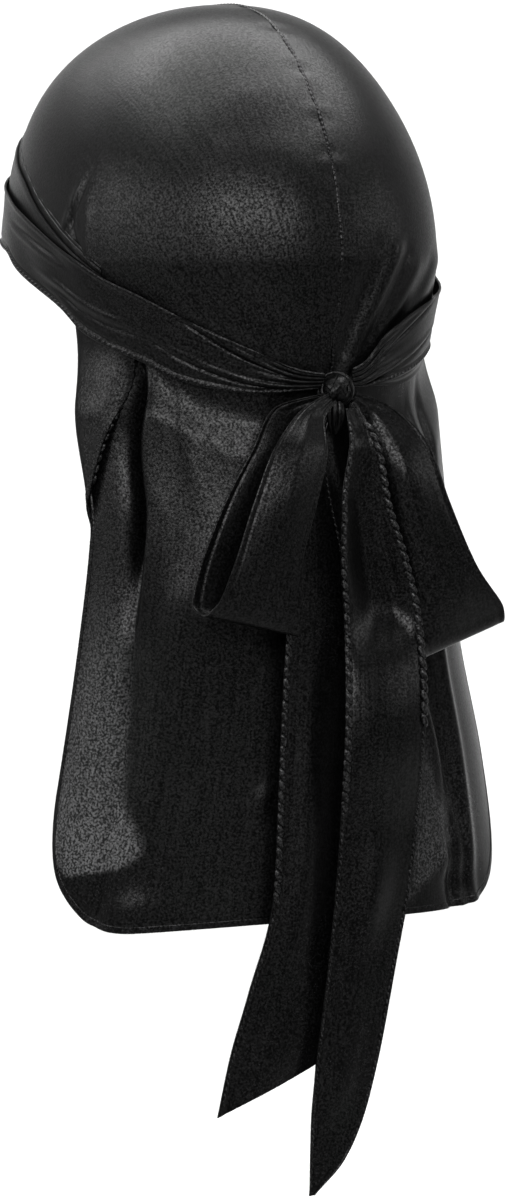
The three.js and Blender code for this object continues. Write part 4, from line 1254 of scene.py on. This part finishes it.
under_place = head_wrap(under_wrap, under_wrap, UNDER_WRAP_GROW, 0.8, under_wrap_detail)
under_strap = cloth_sheet("wrap_under_strap", under_place, 520, 20, (552, 30), CLOTH, threads="u")
dress(under_strap, satin, "satin", "wrap_under")
over_place = head_wrap(over_wrap_left, over_wrap_right, OVER_WRAP_GROW, 1.6, over_wrap_detail)
over_strap = cloth_sheet("wrap_over_strap", over_place, 600, 44, (560, 26), CLOTH, threads="u")
dress(over_strap, satin, "satin", "wrap_over")

# The cape's colour is painted lighter, as painted backlight and sheen, where it is one thin layer
cape_cloth = cloth_sheet("cape_cloth", cape, 240, 170, (225, 225), CLOTH, painted_backlight=painted_backlight_share)
dress(cape_cloth, cape_satin_with_painted_backlight, "satin", "cape")
cape_edge = cloth_sheet("cape_hem_roll", cape_hem, 620, 5, (700, CAPE_HEM_WIDTH), HEM_ROLL)
dress(cape_edge, satin_hem, "hem", "cape_hem")

loop_left_place = bow_strap(loop_left_course, LOOP_LEFT_LENGTH, LOOP_WIDTH, loop_left_detail)
loop_left = cloth_sheet("loop_left_strap", loop_left_place, 52, 250, (30, 190), CLOTH)
dress(loop_left, strap_satin, "satin", "loop_left")
loop_right_place = bow_strap(loop_right_course, LOOP_RIGHT_LENGTH, LOOP_WIDTH, loop_right_detail)
loop_right = cloth_sheet("loop_right_strap", loop_right_place, 54, 265, (33, 205), CLOTH)
dress(loop_right, strap_satin, "satin", "loop_right")
tail_left_place = bow_strap(tail_left_course, TAIL_LEFT_LENGTH, TAIL_WIDTH, tail_left_detail)
tail_left = cloth_sheet("tail_left_strap", tail_left_place, 46, 290, (30, 255), CLOTH)
dress(tail_left, strap_satin, "satin", "tail_left")
tail_right_place = bow_strap(tail_right_course, TAIL_RIGHT_LENGTH, TAIL_WIDTH, tail_right_detail)
tail_right = cloth_sheet("tail_right_strap", tail_right_place, 48, 315, (30, 300), CLOTH)
dress(tail_right, strap_satin, "satin", "tail_right")

knot = make_knot()
dress(knot, strap_satin, "satin", "knot")
tuck = cloth_sheet("knot_tuck_fold", knot_tuck, 60, 40, (10.5, 13.5), TUCK_CLOTH)
dress(tuck, strap_satin, "satin", "knot_tuck")

line = np.linspace(0, 1, 900)
chain = stitches(
    "edge_chain",
    [
        (tail_right_place, 0 * line + 0.03, mix(0.035, 0.52, line), -1, STITCH_PITCH),
        (tail_right_place, 0 * line + 0.97, mix(0.03, 0.47, line), -1, STITCH_PITCH),
        (tail_left_place, 0 * line + 0.03, mix(0.34, 0.68, line), -1, STITCH_PITCH),
        (cape_hem, mix(0.004, TURNED_OVER, line), 0 * line + 0.4, 1, STITCH_PITCH),
    ],
    (STITCH_LENGTH, STITCH_WIDTH, STITCH_HEIGHT),
    STITCH_SLANT,
    STITCH_STANDS,
)
dress(chain, thread, "hem")
fine_chain = stitches(
    "fine_edge_stitches",
    [
        (tail_right_place, 0 * line + 0.03, mix(0.52, 0.985, line), -1, FINE_PITCH),
        (tail_right_place, 0 * line + 0.97, mix(0.47, 0.985, line), -1, FINE_PITCH),
        (tail_left_place, 0 * line + 0.03, mix(0.68, 0.985, line), -1, FINE_PITCH),
        (tail_left_place, 0 * line + 0.97, mix(0.1, 0.985, line), -1, FINE_PITCH),
        (cape_hem, mix(TURNED_OVER, 0.998, line), 0 * line + 0.55, -1, FINE_PITCH),
        (over_place, mix(0.02, 0.42, line), 0 * line + 0.955, 1, FINE_PITCH),
        (over_place, mix(0.58, 0.98, line), 0 * line + 0.955, 1, FINE_PITCH),
    ],
    FINE_STITCH,
    STITCH_SLANT,
    FINE_STITCH_STANDS,
)
dress(fine_chain, thread, "hem")

pale_stage()
set_lights()
